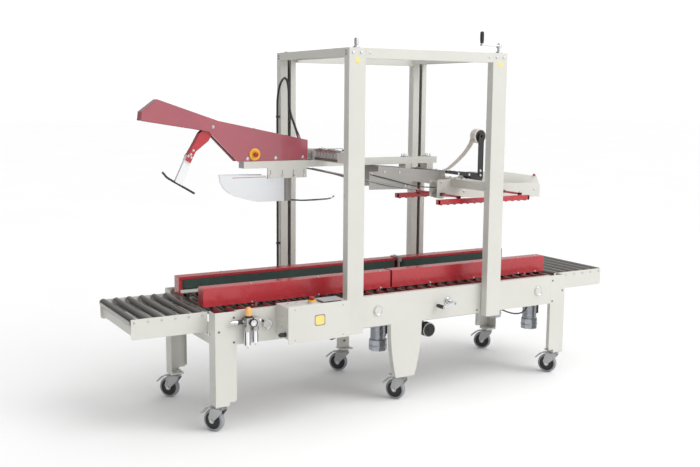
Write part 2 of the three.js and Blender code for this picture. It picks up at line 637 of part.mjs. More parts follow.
// ---------------------------------------------------------------- side belts
// Guard: a folded cover, open towards the carton, with closed outer ends.
function beltGuard([x0, x1]) {
  const section = [
    [-GUARD_OUTER, GUARD_BOTTOM], [-GUARD_OUTER + 22, GUARD_BOTTOM], [-GUARD_OUTER + 22, GUARD_BOTTOM + 3],
    [-GUARD_OUTER + 3, GUARD_BOTTOM + 3], [-GUARD_OUTER + 3, GUARD_TOP - 3], [-GUARD_LIP, GUARD_TOP - 3],
    [-GUARD_LIP, GUARD_TOP], [-GUARD_OUTER, GUARD_TOP],
  ];
  const cover = endProfile(section, [x0, x1]);
  const cap = ([a, b]) => box([a, b], [-GUARD_OUTER, -GUARD_LIP], [GUARD_BOTTOM, GUARD_TOP]);
  const pieces = [cap([x0, x0 + 3]), cap([x1 - 3, x1])];
  if (x0 === GUARD_ENDS[0]) {
    pieces.push(box([x0, x0 + 20], [-GUARD_LIP - 3, -GUARD_LIP], [GUARD_BOTTOM, GUARD_TOP]));
  }
  return join(cover, ...pieces);
}

// Belt with the slider bed and pulleys that it runs round.
function driveBelt([x0, x1]) {
  const shape = new THREE.Shape();
  const middle = -(BELT_INNER + BELT_RADIUS);
  const left = x0 + 12 + BELT_RADIUS;
  const right = x1 - 12 - BELT_RADIUS;
  shape.moveTo(left, middle - BELT_RADIUS);
  shape.lineTo(right, middle - BELT_RADIUS);
  shape.absarc(right, middle, BELT_RADIUS, -Math.PI / 2, Math.PI / 2);
  shape.lineTo(left, middle + BELT_RADIUS);
  shape.absarc(left, middle, BELT_RADIUS, Math.PI / 2, (3 * Math.PI) / 2);
  return planProfile(shape, [BELT_BOTTOM, BELT_BOTTOM + BELT_HEIGHT], 8);
}

// Gear motor under a belt, with its shaft up between two rollers.
function gearMotor(x) {
  const y = -MOTOR_Y;
  const body = rod([x, y, 318], [x, y, 442], 44, 16);
  const fanCover = rod([x, y, 261], [x, y, 326], 52, 16);
  const gearbox = box([x - 44, x + 44], [y - 44, y + 44], [440, 556]);
  const shaft = rod([x, y, 550], [x, y, BELT_BOTTOM - GAP], 8, 8);
  const terminalBox = box([x + 30, x + 58], [y - 20, y + 20], [350, 410]);
  return join(body, fanCover, gearbox, shaft, terminalBox);
}

const REAR_DRIVE_X = DRIVE_X + 4 * BED_ROLLER_PITCH;
const OUTFEED_DRIVE_X = DRIVE_X + 16 * BED_ROLLER_PITCH;
const REAR_BELT_SHORTER = 45;
const seam = 6;
const beltRuns = [
  ['front_infeed', [GUARD_ENDS[0], JOINT_FRONT - seam], DRIVE_X, false],
  ['front_outfeed', [JOINT_FRONT + seam, GUARD_ENDS[1]], OUTFEED_DRIVE_X, false],
  ['rear_infeed', [GUARD_ENDS[0], JOINT_REAR - seam], REAR_DRIVE_X, true],
  ['rear_outfeed', [JOINT_REAR + seam, GUARD_ENDS[1] - REAR_BELT_SHORTER], OUTFEED_DRIVE_X, true],
];
for (const [name, run, motorX, isRear] of beltRuns) {
  const side = isRear ? mirrorY : (piece) => piece;
  add(`belt_guard_${name}`, side(beltGuard(run)), RED);
  add(`drive_belt_${name}`, side(driveBelt(run)), BELT_GREEN);
  add(`gear_motor_${name}`, side(gearMotor(motorX)), MOTOR_GREY);
}

// ---------------------------------------------------------------- width crank
const WIDTH_CRANK = { x: 262, z: 542 };

function widthCrank() {
  const { x, z } = WIDTH_CRANK;
  const face = -BED_HALF_WIDTH - GAP;
  const armY = [face - 78, face - 70];
  const hub = rod([x, face - 22, z], [x, face, z], 20, 20);
  const shaft = rod([x, face - 82, z], [x, face, z], 9, 14);
  const arm = sideProfile([
    [x - 8, z - 12], [x + 10, z - 4], [x + 4, z + 12], [x - 84, z - 8], [x - 80, z - 26],
  ], armY);
  const grip = rod([x - 76, face - 84, z - 16], [x - 76, face - 6, z - 16], 11, 14);
  return join(hub, shaft, arm, grip);
}

add('width_crank', widthCrank(), ZINC);

// ---------------------------------------------------------------- control box
function controlBoxBody() {
  const wall = 3;
  const depth = [BOX_Y[0] + 6, BOX_Y[1]];
  const outer = box(BOX_X, depth, BOX_Z);
  const insideX = [BOX_X[0] + wall, BOX_X[1] - wall];
  const insideZ = [BOX_Z[0] + wall, BOX_Z[1] - wall];
  const inner = box(insideX, [depth[0] - 5, depth[1] - wall], insideZ);
  const gland = rod([-507, -430, BOX_Z[0] - 22], [-507, -430, BOX_Z[0] + 1], 13, 12);
  const buttonBase = rod([...BOX_STOP, BOX_Z[1] - 1], [...BOX_STOP, BOX_Z[1] + 8], 22, 20);
  const buttonHole = rod([...BOX_STOP, BOX_Z[1] - 5], [...BOX_STOP, BOX_Z[1] + 9], 10, 12);
  return join(outer.subtract(inner), buttonBase, gland).subtract(buttonHole);
}

add('control_box', controlBoxBody(), CREAM);
add('control_box_cover', box(BOX_X, [BOX_Y[0], BOX_Y[0] + 6 - GAP], BOX_Z), CREAM);
add('control_box_button', join(
  rod([...BOX_STOP, BOX_Z[1] + 2], [...BOX_STOP, BOX_Z[1] + 15], 9, 12),
  rod([...BOX_STOP, BOX_Z[1] + 14], [...BOX_STOP, BOX_Z[1] + 27], 16, 16)), BUTTON_RED);

// ---------------------------------------------------------------- air preparation unit
function filterRegulator() {
  const y = -398;
  return join(
    box([-1004, -918], [y - 22, -BED_HALF_WIDTH - GAP], [545, 592]),
    rod([-975, y, 590], [-975, y, 650], 21, 16),
    rod([-982, y, 434], [-982, y, 546], 17, 14),
    rod([-940, y, 446], [-940, y, 546], 17, 14),
    rod([-1072, y + 12, 568], [-1003, y + 12, 568], 12, 12),
    rod([-961, y - 34, 566], [-961, y - 20, 566], 20, 20));
}

add('filter_regulator', filterRegulator(), ZINC);

// ---------------------------------------------------------------- air hose
// From the folder housing it loops to the rear column and runs down to the bed.
const HOSE_Y = BED_HALF_WIDTH + 16;
const hoseRoute = [
  [-498, 5, 1469], [-498, 20, 1487], [-495, 58, 1529], [-488, 112, 1579], [-480, 149, 1640],
  [-474, 165, 1704], [-467, 192, 1752], [-458, 240, 1777], [-449, 299, 1765], [-443, 348, 1725],
  [-440, 374, 1668], [-440, HOSE_Y, 1600], [-440, HOSE_Y, 1300], [-440, HOSE_Y, 900],
  [-440, HOSE_Y, 640], [-440, HOSE_Y, 588], [-440, HOSE_Y - 2, 566], [-440, HOSE_Y - 7, 556],
  [-440, BED_HALF_WIDTH + 3, 553.5],
];
add('air_hose', tubeAlong(hoseRoute, 6.5, 56, 8), BLACK);

// ---------------------------------------------------------------- casters
const casterNames = ['infeed', 'centre', 'outfeed'];

// Swivel fork and brake pedal, drawn about the swivel axis.
function casterFork() {
  const race = rod([0, 0, 126], [0, 0, LEG_BOTTOM - GAP], 24, 12);
  const crown = box([-40, 26], [-24, 24], [121, 127]);
  const cheek = sideProfile([[-52, 48], [-26, 44], [26, 108], [26, 126], [-40, 126], [-56, 66]], [-24, -20]);
  const axle = rod([-CASTER_TRAIL, -26, WHEEL_RADIUS], [-CASTER_TRAIL, -22, WHEEL_RADIUS], 8, 6);
  const pedal = sideProfile([
    [-36, 127], [-70, 119], [-112, 84], [-106, 80], [-68, 114], [-36, 122],
  ], [-17, 17]);
  return join(race, crown, bothSides(join(cheek, axle)), pedal);
}

function casterWheel() {
  const half = WHEEL_WIDTH / 2;
  const tread = rod([0, -half, 0], [0, half, 0], WHEEL_RADIUS, 20);
  return join(tread, rod([0, -20 + GAP, 0], [0, 20 - GAP, 0], 16, 8));
}

CASTER_X.forEach((x, i) => {
  for (const [side, sign] of [['front', -1], ['rear', 1]]) {
    const corner = new THREE.Group();
    corner.position.set(x, sign * CASTER_Y, 0);
    corner.rotation.z = THREE.MathUtils.degToRad(CASTER_TURN[side]);
    add(`caster_fork_${side}_${casterNames[i]}`, casterFork(), ZINC, corner);
    const wheel = add(`caster_wheel_${side}_${casterNames[i]}`, casterWheel(), TYRE_GREY, corner);
    wheel.position.set(-CASTER_TRAIL, 0, WHEEL_RADIUS);
    machine.add(corner);
  }
});

export default machine;
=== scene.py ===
# Carton sealer: the visible model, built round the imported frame. Metres, +X along the carton flow, +Z up.
import itertools
import json
import math

import bmesh
import bpy
from mathutils import Matrix, Vector


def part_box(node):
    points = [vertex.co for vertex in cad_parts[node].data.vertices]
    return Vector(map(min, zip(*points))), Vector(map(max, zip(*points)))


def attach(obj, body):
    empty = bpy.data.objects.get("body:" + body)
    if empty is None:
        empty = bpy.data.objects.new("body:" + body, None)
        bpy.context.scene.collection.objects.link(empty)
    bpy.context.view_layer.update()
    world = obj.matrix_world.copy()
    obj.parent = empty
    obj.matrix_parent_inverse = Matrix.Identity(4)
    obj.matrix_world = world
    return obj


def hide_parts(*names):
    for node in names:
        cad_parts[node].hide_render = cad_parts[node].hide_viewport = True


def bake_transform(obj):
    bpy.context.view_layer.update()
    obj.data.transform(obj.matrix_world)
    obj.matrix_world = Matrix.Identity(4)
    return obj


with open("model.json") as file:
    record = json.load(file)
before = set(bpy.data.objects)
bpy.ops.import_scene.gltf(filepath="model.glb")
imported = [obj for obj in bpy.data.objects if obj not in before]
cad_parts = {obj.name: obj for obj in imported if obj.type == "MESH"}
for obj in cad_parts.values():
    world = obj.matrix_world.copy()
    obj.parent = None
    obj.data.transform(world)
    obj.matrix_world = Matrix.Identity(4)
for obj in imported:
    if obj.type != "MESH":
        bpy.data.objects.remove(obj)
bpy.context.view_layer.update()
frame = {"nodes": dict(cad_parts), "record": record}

# Lengths below are in millimetres, measured from the carton path's centre line.
PATH_Y = sum(p.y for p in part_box("bed_rollers")) / 2
SIDES = {"front": -1, "rear": 1}
FLOW = ("infeed", "outfeed")


def at(x, y, z):
    """A place given in millimetres from the path's centre line, in the frame's metres."""
    return Vector((x / 1000, y / 1000 + PATH_Y, z / 1000))


def span(node):
    """A CAD node's box in millimetres about the path's centre line."""
    low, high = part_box(node)
    return [(a * 1000, b * 1000) for a, b in zip(low - at(0, 0, 0), high - at(0, 0, 0))]


# ------------------------------------------------------------------ camera
# Solved from the photograph: where it was taken from, its aim and its focal length.
CAMERA_AT = (-2868.6, -4629.3, 1668.5)
YAW, PITCH, ROLL = (math.radians(a) for a in (30.26, 8.08, -0.51))
FOCAL_PIXELS = 952.62
FRAME_PIXELS = 700


def make_camera():
    """Camera at the photograph's place."""
    forward = Vector((math.sin(YAW) * math.cos(PITCH), math.cos(YAW) * math.cos(PITCH), -math.sin(PITCH)))
    level = Vector((math.cos(YAW), -math.sin(YAW), 0))
    down = forward.cross(level)
    right = level * math.cos(ROLL) + down * math.sin(ROLL)
    down = down * math.cos(ROLL) - level * math.sin(ROLL)
    data = bpy.data.cameras.new("camera")
    data.sensor_width = 36
    data.lens = FOCAL_PIXELS / FRAME_PIXELS * data.sensor_width
    data.clip_end = 100
    camera = bpy.data.objects.new("camera", data)
    turn = Matrix((right, -down, -forward)).transposed()
    camera.matrix_world = Matrix.Translation(at(*CAMERA_AT)) @ turn.to_4x4()
    bpy.context.scene.collection.objects.link(camera)
    bpy.context.scene.camera = camera


make_camera()

# ------------------------------------------------------------------ materials


RANGE_SOCKETS = ("From Min", "From Max", "To Min", "To Max")


class Nodes:
    """Short names for the shader nodes of one material."""

    def __init__(self, name):
        self.material = bpy.data.materials.new(name)
        self.material.use_nodes = True
        self.tree = self.material.node_tree
        self.shader = self.tree.nodes["Principled BSDF"]
        self.place = self.tree.nodes.new("ShaderNodeTexCoord").outputs["Object"]

    def link(self, a, b):
        self.tree.links.new(a, b)

    def noise(self, scale, detail=4, roughness=0.55, stretch=None):
        where = self.place
        if stretch:
            mapping = self.tree.nodes.new("ShaderNodeMapping")
            mapping.inputs["Scale"].default_value = stretch
            self.link(self.place, mapping.inputs["Vector"])
            where = mapping.outputs["Vector"]
        node = self.tree.nodes.new("ShaderNodeTexNoise")
        node.inputs["Scale"].default_value = scale
        node.inputs["Detail"].default_value = detail
        node.inputs["Roughness"].default_value = roughness
        self.link(where, node.inputs["Vector"])
        return node.outputs["Fac"]

    def ramp(self, fac, *stops):
        node = self.tree.nodes.new("ShaderNodeValToRGB")
        band = node.color_ramp
        while len(band.elements) < len(stops):
            band.elements.new(0.5)
        for element, (place, colour) in zip(band.elements, stops):
            element.position = place
            element.color = (*colour, 1)
        self.link(fac, node.inputs["Fac"])
        return node.outputs["Color"]

    def spread(self, fac, low, high):
        """Stretch the middle of a noise over a range of values."""
        node = self.tree.nodes.new("ShaderNodeMapRange")
        for key, value in zip(RANGE_SOCKETS, (0.3, 0.7, low, high)):
            node.inputs[key].default_value = value
        self.link(fac, node.inputs["Value"])
        return node.outputs["Result"]

    def mix(self, fac, a, b):
        node = self.tree.nodes.new("ShaderNodeMix")
        node.data_type = "RGBA"
        self.link(fac, node.inputs["Factor"])
        self.link(a, node.inputs[6])
        self.link(b, node.inputs[7])
        return node.outputs[2]

    def bump(self, height, distance, below=None):
        node = self.tree.nodes.new("ShaderNodeBump")
        node.inputs["Distance"].default_value = distance
        node.inputs["Strength"].default_value = 1.0
        self.link(height, node.inputs["Height"])
        if below:
            self.link(below, node.inputs["Normal"])
        return node.outputs["Normal"]


    def look(self, base, rough, normal):
        """Wire up the three sockets that every material here has."""
        for key, value in (("Base Color", base), ("Roughness", rough), ("Normal", normal)):
            self.link(value, self.shader.inputs[key])


def shade(colour, factor):
    """A colour made lighter or darker."""
    return tuple(min(1, c * factor) for c in colour)


def around_colour(colour, vary):
    """Ramp stops a little darker and a little lighter than a colour."""
    return (0.3, shade(colour, 1 - vary)), (0.7, shade(colour, 1 + vary))


ORANGE_PEEL = 0.00025


def paint(name, colour, rough, coat=0.0, vary=0.05):
    """Powder coat: orange peel, faint clouding and slightly uneven gloss."""
    n = Nodes(name)
    clouds = n.ramp(n.noise(3.2, 5), *around_colour(colour, vary))
    gloss = n.spread(n.noise(14, 6), *rough)
    soft = n.bump(n.noise(260, 3), ORANGE_PEEL)
    n.look(clouds, gloss, n.bump(n.noise(1400, 2), ORANGE_PEEL * 0.4, below=soft))
    n.shader.inputs["Coat Weight"].default_value = coat
    return n.material


def steel(name, colour, rough, along="x", vary=0.12, streak=0.00006, contrast=(0.85, 1.1)):
    """Turned or ground metal with fine streaks along one axis and faint stains."""
    n = Nodes(name)
    squeeze = {"x": (2, 260, 260), "y": (260, 2, 260), "z": (260, 260, 2)}[along]
    streaks = n.noise(1.0, 6, 0.7, stretch=squeeze)
    stains = n.noise(9, 6, 0.6)
    dull = n.ramp(stains, (0.35, shade(colour, 1 - vary)), (0.68, shade(colour, 1 + vary)))
    bright = n.ramp(streaks, (0.3, shade(colour, contrast[0])), (0.7, shade(colour, contrast[1])))
    blend = n.mix(n.spread(streaks, 0.25, 0.75), dull, bright)
    n.look(blend, n.spread(stains, *rough), n.bump(streaks, streak))
    n.shader.inputs["Metallic"].default_value = 1.0
    return n.material


def plastic(name, colour, rough, grain=0.0001, vary=0.06, specular=0.5):
    """Moulded plastic: fine grain and faint clouding."""
    n = Nodes(name)
    cloud = n.ramp(n.noise(25, 4), *around_colour(colour, vary))
    n.look(cloud, n.spread(n.noise(60, 5), *rough), n.bump(n.noise(900, 3), grain))
    n.shader.inputs["Specular IOR Level"].default_value = specular
    return n.material


RIB_PITCH = 0.004


def ribbed_rubber(name, colour):
    """Belt cover: fine cross ribs, dust in the grooves."""
    n = Nodes(name)
    wave = n.tree.nodes.new("ShaderNodeTexWave")
    wave.bands_direction = "Z"
    wave.inputs["Scale"].default_value = 0.314 / RIB_PITCH
    wave.inputs["Distortion"].default_value = 0.6
    n.link(n.place, wave.inputs["Vector"])
    dust = n.noise(18, 6, 0.65)
    dusty = n.ramp(dust, (0.3, shade(colour, 0.8)), (0.75, shade(colour, 1.35)))
    ribs = n.bump(wave.outputs["Fac"], 0.0004, below=n.bump(n.noise(500, 3), 0.0002))
    n.look(dusty, n.spread(dust, 0.62, 0.85), ribs)
    return n.material


def clear_plastic(name, colour):
    """Smoked see-through plastic of the filter bowls."""
    n = Nodes(name)
    n.link(n.ramp(n.noise(30, 3), (0.3, shade(colour, 0.9)), (0.7, colour)), n.shader.inputs["Base Color"])
    n.link(n.spread(n.noise(40, 3), 0.08, 0.18), n.shader.inputs["Roughness"])
    n.shader.inputs["Transmission Weight"].default_value = 0.7
    n.shader.inputs["IOR"].default_value = 1.49
    return n.material


CREAM = paint("cream_coat", (0.625, 0.62, 0.575), (0.36, 0.48), vary=0.025)
RED = paint("red_coat", (0.47, 0.029, 0.039), (0.20, 0.32), coat=0.35, vary=0.08)
# The housing's red is paler and pinker than the red coat: painted sheen, the glossy coat's reflection of the
# bright studio baked into its colour.
HOUSING_RED_PAINTED_SHEEN = paint("housing_red_painted_sheen", (0.37, 0.085, 0.11), (0.14, 0.24), coat=0.7, vary=0.08)
WHITE = paint("white_coat", (0.80, 0.81, 0.82), (0.3, 0.42), vary=0.02)
BLACK = paint("black_coat", (0.022, 0.022, 0.024), (0.45, 0.6), vary=0.2)
GREY_PANEL = paint("grey_panel_coat", (0.42, 0.43, 0.44), (0.4, 0.55), vary=0.05)
MOTOR = steel("motor_aluminium", (0.44, 0.46, 0.50), (0.34, 0.46), along="z", vary=0.1)
NOSE = steel("nose_plate_steel", (0.72, 0.73, 0.75), (0.34, 0.44), along="x", vary=0.02, streak=0.00001,
             contrast=(0.98, 1.02))
ROLLER = steel("roller_steel", (0.27, 0.255, 0.24), (0.14, 0.26), along="y", vary=0.16)
ZINC = steel("zinc_plate", (0.56, 0.57, 0.58), (0.24, 0.4), along="z")
BRIGHT = steel("bright_steel", (0.66, 0.67, 0.68), (0.12, 0.24), along="z", vary=0.06)
SHEET_STEEL = steel("sheet_steel", (0.50, 0.49, 0.475), (0.32, 0.48), along="x", vary=0.08)
PLOW_STEEL = steel("plow_steel", (0.36, 0.345, 0.33), (0.34, 0.5), along="x", vary=0.1)
# Much darker copy of the nose plate's steel for its curved end: painted reflection of dark surroundings on
# the bend.
NOSE_END_PAINTED_DARK = steel("nose_end_painted_reflection", (0.27, 0.26, 0.25), (0.3, 0.45), along="z", vary=0.12)
SCREW_STEEL = steel("screw_steel", (0.22, 0.215, 0.21), (0.25, 0.42), along="z", vary=0.15)
BELT = ribbed_rubber("belt_rubber", (0.030, 0.058, 0.048))
FORK = steel("caster_fork_zinc", (0.46, 0.46, 0.46), (0.26, 0.42), along="z", vary=0.15)
TYRE = plastic("caster_rubber", (0.30, 0.31, 0.33), (0.4, 0.6), 0.0002, 0.08, 0.35)
HUB = plastic("hub_plastic", (0.022, 0.022, 0.024), (0.35, 0.5))
BLACK_PLASTIC = plastic("black_plastic", (0.022, 0.022, 0.024), (0.38, 0.52))
HOSE = plastic("hose_rubber", (0.018, 0.018, 0.02), (0.4, 0.55))
BUTTON = plastic("button_red", (0.46, 0.018, 0.012), (0.16, 0.25), 0.00003)
COLLAR = plastic("collar_yellow", (0.80, 0.42, 0.03), (0.25, 0.35), 0.00005)
KNOB = plastic("knob_orange", (0.86, 0.46, 0.16), (0.3, 0.42), 0.00005)
BOWL = clear_plastic("bowl_smoked", (0.16, 0.17, 0.18))
DIAL = plastic("dial_white", (0.85, 0.86, 0.86), (0.2, 0.3), 0.00002)
LABEL = plastic("label_yellow", (0.80, 0.66, 0.22), (0.3, 0.4), 0.00003, 0.04)
TAPE = plastic("packing_tape", (0.76, 0.72, 0.67), (0.2, 0.34), 0.00003, 0.04)
CORE = plastic("card_core", (0.40, 0.29, 0.19), (0.7, 0.85), 0.0003, 0.12, 0.2)

# ------------------------------------------------------------------ mesh building
# Edges that turn by more than this are rounded and shaded as edges.
SHARP = math.radians(31)


def rounded(bm, radius):
    """Round the sharp edges of a solid; radius in millimetres."""
    edges = [e for e in bm.edges if e.calc_face_angle(0) > SHARP]
    if radius and edges:
        bmesh.ops.bevel(bm, geom=edges, offset=radius / 1000, segments=2, profile=0.5,
                        affect="EDGES", clamp_overlap=True)
    return bm


def box(x, y, z, edge=0.8):
    bm = bmesh.new()
    low, high = at(x[0], y[0], z[0]), at(x[1], y[1], z[1])
    bmesh.ops.create_cube(bm, size=1)
    for v in bm.verts:
        for i in range(3):
            v.co[i] = low[i] if v.co[i] < 0 else high[i]
    return rounded(bm, edge)


def around(count, first=0.0):
    """Cosine and sine of evenly spaced angles; first in degrees."""
    angles = (math.radians(first) + 2 * math.pi * i / count for i in range(count))
    return [(math.cos(a), math.sin(a)) for a in angles]


def turned(start, end, profile, sides=32):
    """A solid of revolution from start to end; profile is (distance along in mm, radius in mm)."""
    a, b = at(*start), at(*end)
    along = (b - a).normalized()
    side = along.orthogonal().normalized()
    other = along.cross(side)
    bm = bmesh.new()
    rings = []
    for distance, radius in profile:
        centre = a + along * distance / 1000
        if radius < 1e-6:
            rings.append([bm.verts.new(centre)])
            continue
        rings.append([bm.verts.new(centre + (side * c + other * s) * radius / 1000) for c,
                      s in around(sides)])
    for low, high in zip(rings, rings[1:]):
        for i in range(sides):
            j = (i + 1) % sides
            quad = [low[i % len(low)], low[j % len(low)], high[j % len(high)], high[i % len(high)]]
            bm.faces.new(list(dict.fromkeys(quad)))
    for end_ring in (rings[0], rings[-1]):
        if len(end_ring) > 1:
            bm.faces.new(end_ring)
    bmesh.ops.recalc_face_normals(bm, faces=bm.faces)
    return bm


def rod(start, end, radius, edge=0.6, sides=28):
    length = (Vector(end) - Vector(start)).length
    edge = min(edge, radius * 0.45, length * 0.45)
    return turned(start, end, [
        (0, radius - edge), (edge * 0.3, radius - edge * 0.3), (edge, radius),
        (length - edge, radius), (length - edge * 0.3, radius - edge * 0.3), (length, radius - edge)], sides)


def hoop(start, end, profile, sides=36):
    """A closed profile turned round an axis that it stays clear of."""
    bm = turned(start, end, [*profile, profile[0]], sides)
    caps = [f for f in bm.faces if len(f.verts) == sides]
    bmesh.ops.delete(bm, geom=caps, context="FACES_ONLY")
    bmesh.ops.remove_doubles(bm, verts=bm.verts, dist=1e-7)
    bmesh.ops.recalc_face_normals(bm, faces=bm.faces)
    return bm


def ring(start, end, outer, inner, edge=0.6, sides=36):
    """A tube wall with both ends open."""
    length = (Vector(end) - Vector(start)).length
    return hoop(start, end, [
        (edge, inner), (0, inner + edge), (0, outer - edge), (edge, outer), (length - edge, outer),
        (length, outer - edge), (length, inner + edge), (length - edge, inner)], sides)


PLANES = {"xz": (0, 2, 1), "xy": (0, 1, 2), "yz": (1, 2, 0)}


def plate(points, plane, depth, edge=0.8):
    """A flat outline given thickness; depth is the range along the third axis."""
    a, b, c = PLANES[plane]
    bm = bmesh.new()
    faces = []
    for level in depth:
        verts = []
        for u, v in points:
            place = [0, 0, 0]
            place[a], place[b], place[c] = u, v, level
            verts.append(bm.verts.new(at(*place)))
        faces.append(bm.faces.new(verts))
    near, far = (list(f.verts) for f in faces)
    for i in range(len(points)):
        j = (i + 1) % len(points)
        bm.faces.new((near[i], near[j], far[j], far[i]))
    bmesh.ops.recalc_face_normals(bm, faces=bm.faces)
    return rounded(bm, edge)


def arc(centre, radius, start, stop, count=10):
    """Points of an arc, angles in degrees."""
    return [(centre[0] + radius * math.cos(math.radians(start + (stop - start) * i / count)),
             centre[1] + radius * math.sin(math.radians(start + (stop - start) * i / count)))
            for i in range(count + 1)]


def smooth_line(points, per_span=8):
    """A Catmull-Rom line through the points."""
    pts = [Vector(p) for p in points]
    pts = [2 * pts[0] - pts[1], *pts, 2 * pts[-1] - pts[-2]]
    line = []
    for p0, p1, p2, p3 in zip(pts, pts[1:], pts[2:], pts[3:]):
        for i in range(per_span):
            t = i / per_span
            line.append(0.5 * (2 * p1 + (p2 - p0) * t + (2 * p0 - 5 * p1 + 4 * p2 - p3) * t * t
                               + (3 * p1 - p0 - 3 * p2 + p3) * t ** 3))
    line.append(pts[-2])
    return line


def pipe(points, radius, sides, per_span=8):
    """A round bar, wire or cable bent along the points."""
    line = [at(*p) for p in smooth_line(points, per_span)]
    bm = bmesh.new()
    rings = []
    side = (line[1] - line[0]).orthogonal().normalized()
    for i, p in enumerate(line):
        ahead = (line[min(i + 1, len(line) - 1)] - line[max(i - 1, 0)]).normalized()
        side = (side - ahead * side.dot(ahead)).normalized()
        other = ahead.cross(side)
        rings.append([bm.verts.new(p + (side * c + other * s) * radius / 1000) for c, s in around(sides)])
    for low, high in zip(rings, rings[1:]):
        for k in range(sides):
            bm.faces.new((low[k], low[(k + 1) % sides], high[(k + 1) % sides], high[k]))
    bm.faces.new(rings[0])
    bm.faces.new(rings[-1])
    bmesh.ops.recalc_face_normals(bm, faces=bm.faces)
    return bm


def thread(x, y, z, radius, pitch, depth=1.6, sides=16):
    """A vertical screw thread between two heights."""
    bm = bmesh.new()
    turns = int((z[1] - z[0]) / pitch)
    crest, root = [], []
    for i in range(turns * sides + 1):
        angle = 2 * math.pi * i / sides
        height = z[0] + pitch * i / sides
        for line, r, up in ((crest, radius, 0), (root, radius - depth, pitch / 2)):
            line.append(bm.verts.new(at(x + r * math.cos(angle), y + r * math.sin(angle), height + up)))
    for i in range((turns - 1) * sides):
        bm.faces.new((crest[i], crest[i + 1], root[i + 1], root[i]))
        bm.faces.new((root[i], root[i + 1], crest[i + 1 + sides], crest[i + sides]))
    bmesh.ops.recalc_face_normals(bm, faces=bm.faces)
    return bm


class Piece:
    """One visible piece, gathered from solids that may have different materials."""

    def __init__(self, name):
        self.name = name
        self.bm = bmesh.new()
        self.materials = []

    def add(self, material, *solids):
        if material not in self.materials:
            self.materials.append(material)
        index = self.materials.index(material)
        for solid in solids:
            for face in solid.faces:
                face.material_index = index
            held = bpy.data.meshes.new("held")
            solid.to_mesh(held)
            solid.free()
            self.bm.from_mesh(held)
            bpy.data.meshes.remove(held)
        return self

    def bolt(self, place, normal, size=8, material=None, kind="hex"):
        """A screw head on a washer; size is the thread's diameter in millimetres."""
        n = Vector(normal)
        p = Vector(place)
        head = size * (0.62 if kind == "hex" else 0.5)
        wide = size * 0.9
        tip = p + n * (size * 0.16 + head)
        self.add(material or BRIGHT, rod(p, p + n * size * 0.16, size * 1.1, 0.3, 20))
        if kind == "hex":
            self.add(material or BRIGHT, rod(p + n * size * 0.14, tip, wide, size * 0.1, 6))
        else:
            self.add(material or BRIGHT, turned(p + n * size * 0.14, tip, [
                (0, wide * 0.8), (head * 0.55, wide * 0.8), (head * 0.85, wide * 0.62), (head, wide * 0.4),
                (head * 0.6, wide * 0.36), (head * 0.6, 0)], 18))
        return self

    def bolts(self, xs, ys, zs, normal, size, material=None, kind="hex"):
        """A screw at every meeting of the given places along the three axes."""
        for place in itertools.product(*(a if isinstance(a, (tuple, list)) else (a,) for a in (xs, ys, zs))):
            self.bolt(place, normal, size, material, kind)

    def build(self):
        for edge in self.bm.edges:
            edge.smooth = edge.calc_face_angle(0) < SHARP
        for face in self.bm.faces:
            face.smooth = True
        mesh = bpy.data.meshes.new(self.name)
        self.bm.to_mesh(mesh)
        self.bm.free()
        for material in self.materials:
            mesh.materials.append(material)
        piece = bpy.data.objects.new(self.name, mesh)
        bpy.context.scene.collection.objects.link(piece)
        return piece

    def place(self, body, *nodes, slot=None):
        """Make the piece ride on a body, in place of CAD nodes or as an extra; slot is not used."""
        piece = self.build()
        even = piece.modifiers.new("even_shading", "WEIGHTED_NORMAL")
        even.keep_sharp = True
        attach(piece, body)
        if nodes:
            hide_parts(*nodes)


def sheet_metal(node, edge=0.9):
    """A CAD node's own shape with its edges rounded."""
    bm = bmesh.new()
    bm.from_mesh(frame["nodes"][node].data)
    bmesh.ops.remove_doubles(bm, verts=bm.verts, dist=1e-6)
    bmesh.ops.dissolve_limit(bm, angle_limit=math.radians(1), verts=bm.verts, edges=bm.edges)
    return rounded(bm, edge)


SLOT_OF = {s["node"]: s["material_slot"] for s in frame["record"]["subparts"]}


def finish_node(piece, body, node):
    piece.place(body, node, slot=SLOT_OF[node])


# ------------------------------------------------------------------ bed and legs
BED_OUTSIDE = 363
BED_INSIDE = 358.6
SHAFT_X = (-860, -200, 927)
SHAFT_Z = 537
WIDTH_SCREW = (262, 542)


def bed_side(side):
    """One long side of the bed with its centre leg, shaft caps and screws."""
    sign = SIDES[side]
    node = f"bed_side_{side}"
    piece = Piece(node + "_panel").add(CREAM, sheet_metal(node))
    face = sign * BED_OUTSIDE
    for x in SHAFT_X:
        # Pressed cap with a rim over the end of a cross shaft.
        piece.add(BRIGHT, turned((x, face, SHAFT_Z), (x, face + sign * 9, SHAFT_Z), [
            (0, 27), (5.6, 27), (7.2, 25.6), (7.4, 24), (6.4, 22), (3.6, 18), (2.4, 12), (2.2, 0)], 40))
    piece.bolts((-330, 470), face, 468, (0, sign, 0), 5, SCREW_STEEL, "pan")
    if side == "rear":
        piece.bolts(-11, 325, (190, 300), (0, -1, 0), 8, SCREW_STEEL)
    finish_node(piece, "frame", node)


def end_frame(flow):
    """The pair of legs at one end of the bed, and the plate between them."""
    node = f"end_frame_{flow}"
    sign = -1 if flow == "infeed" else 1
    piece = Piece(node + "_weldment").add(CREAM, sheet_metal(node))
    for y in (-1, 1):
        face = y * BED_OUTSIDE
        for x, z in ((1120, 523), (1041, 463), (1041, 589)):
            piece.bolt((sign * x, face, z), (0, y, 0), 5.5, SCREW_STEEL, kind="pan")
        # Folded cover inside the leg and the caster plate under its foot.
        piece.add(CREAM, box((sign * 1134, sign * 1130), (y * 300, y * 352), (200, 540), 1))
        piece.add(ZINC, box((sign * 1140, sign * 1066), sorted((y * 285, y * 361)), (138.4, 142), 0.8))
        piece.bolts((sign * 1130, sign * 1078), (y * 294, y * 352), 148, (0, 0, 1), 7)
    piece.bolts(sign * 1140, (-290, -255, 255, 290), 500, (sign, 0, 0), 8)
    finish_node(piece, "frame", node)


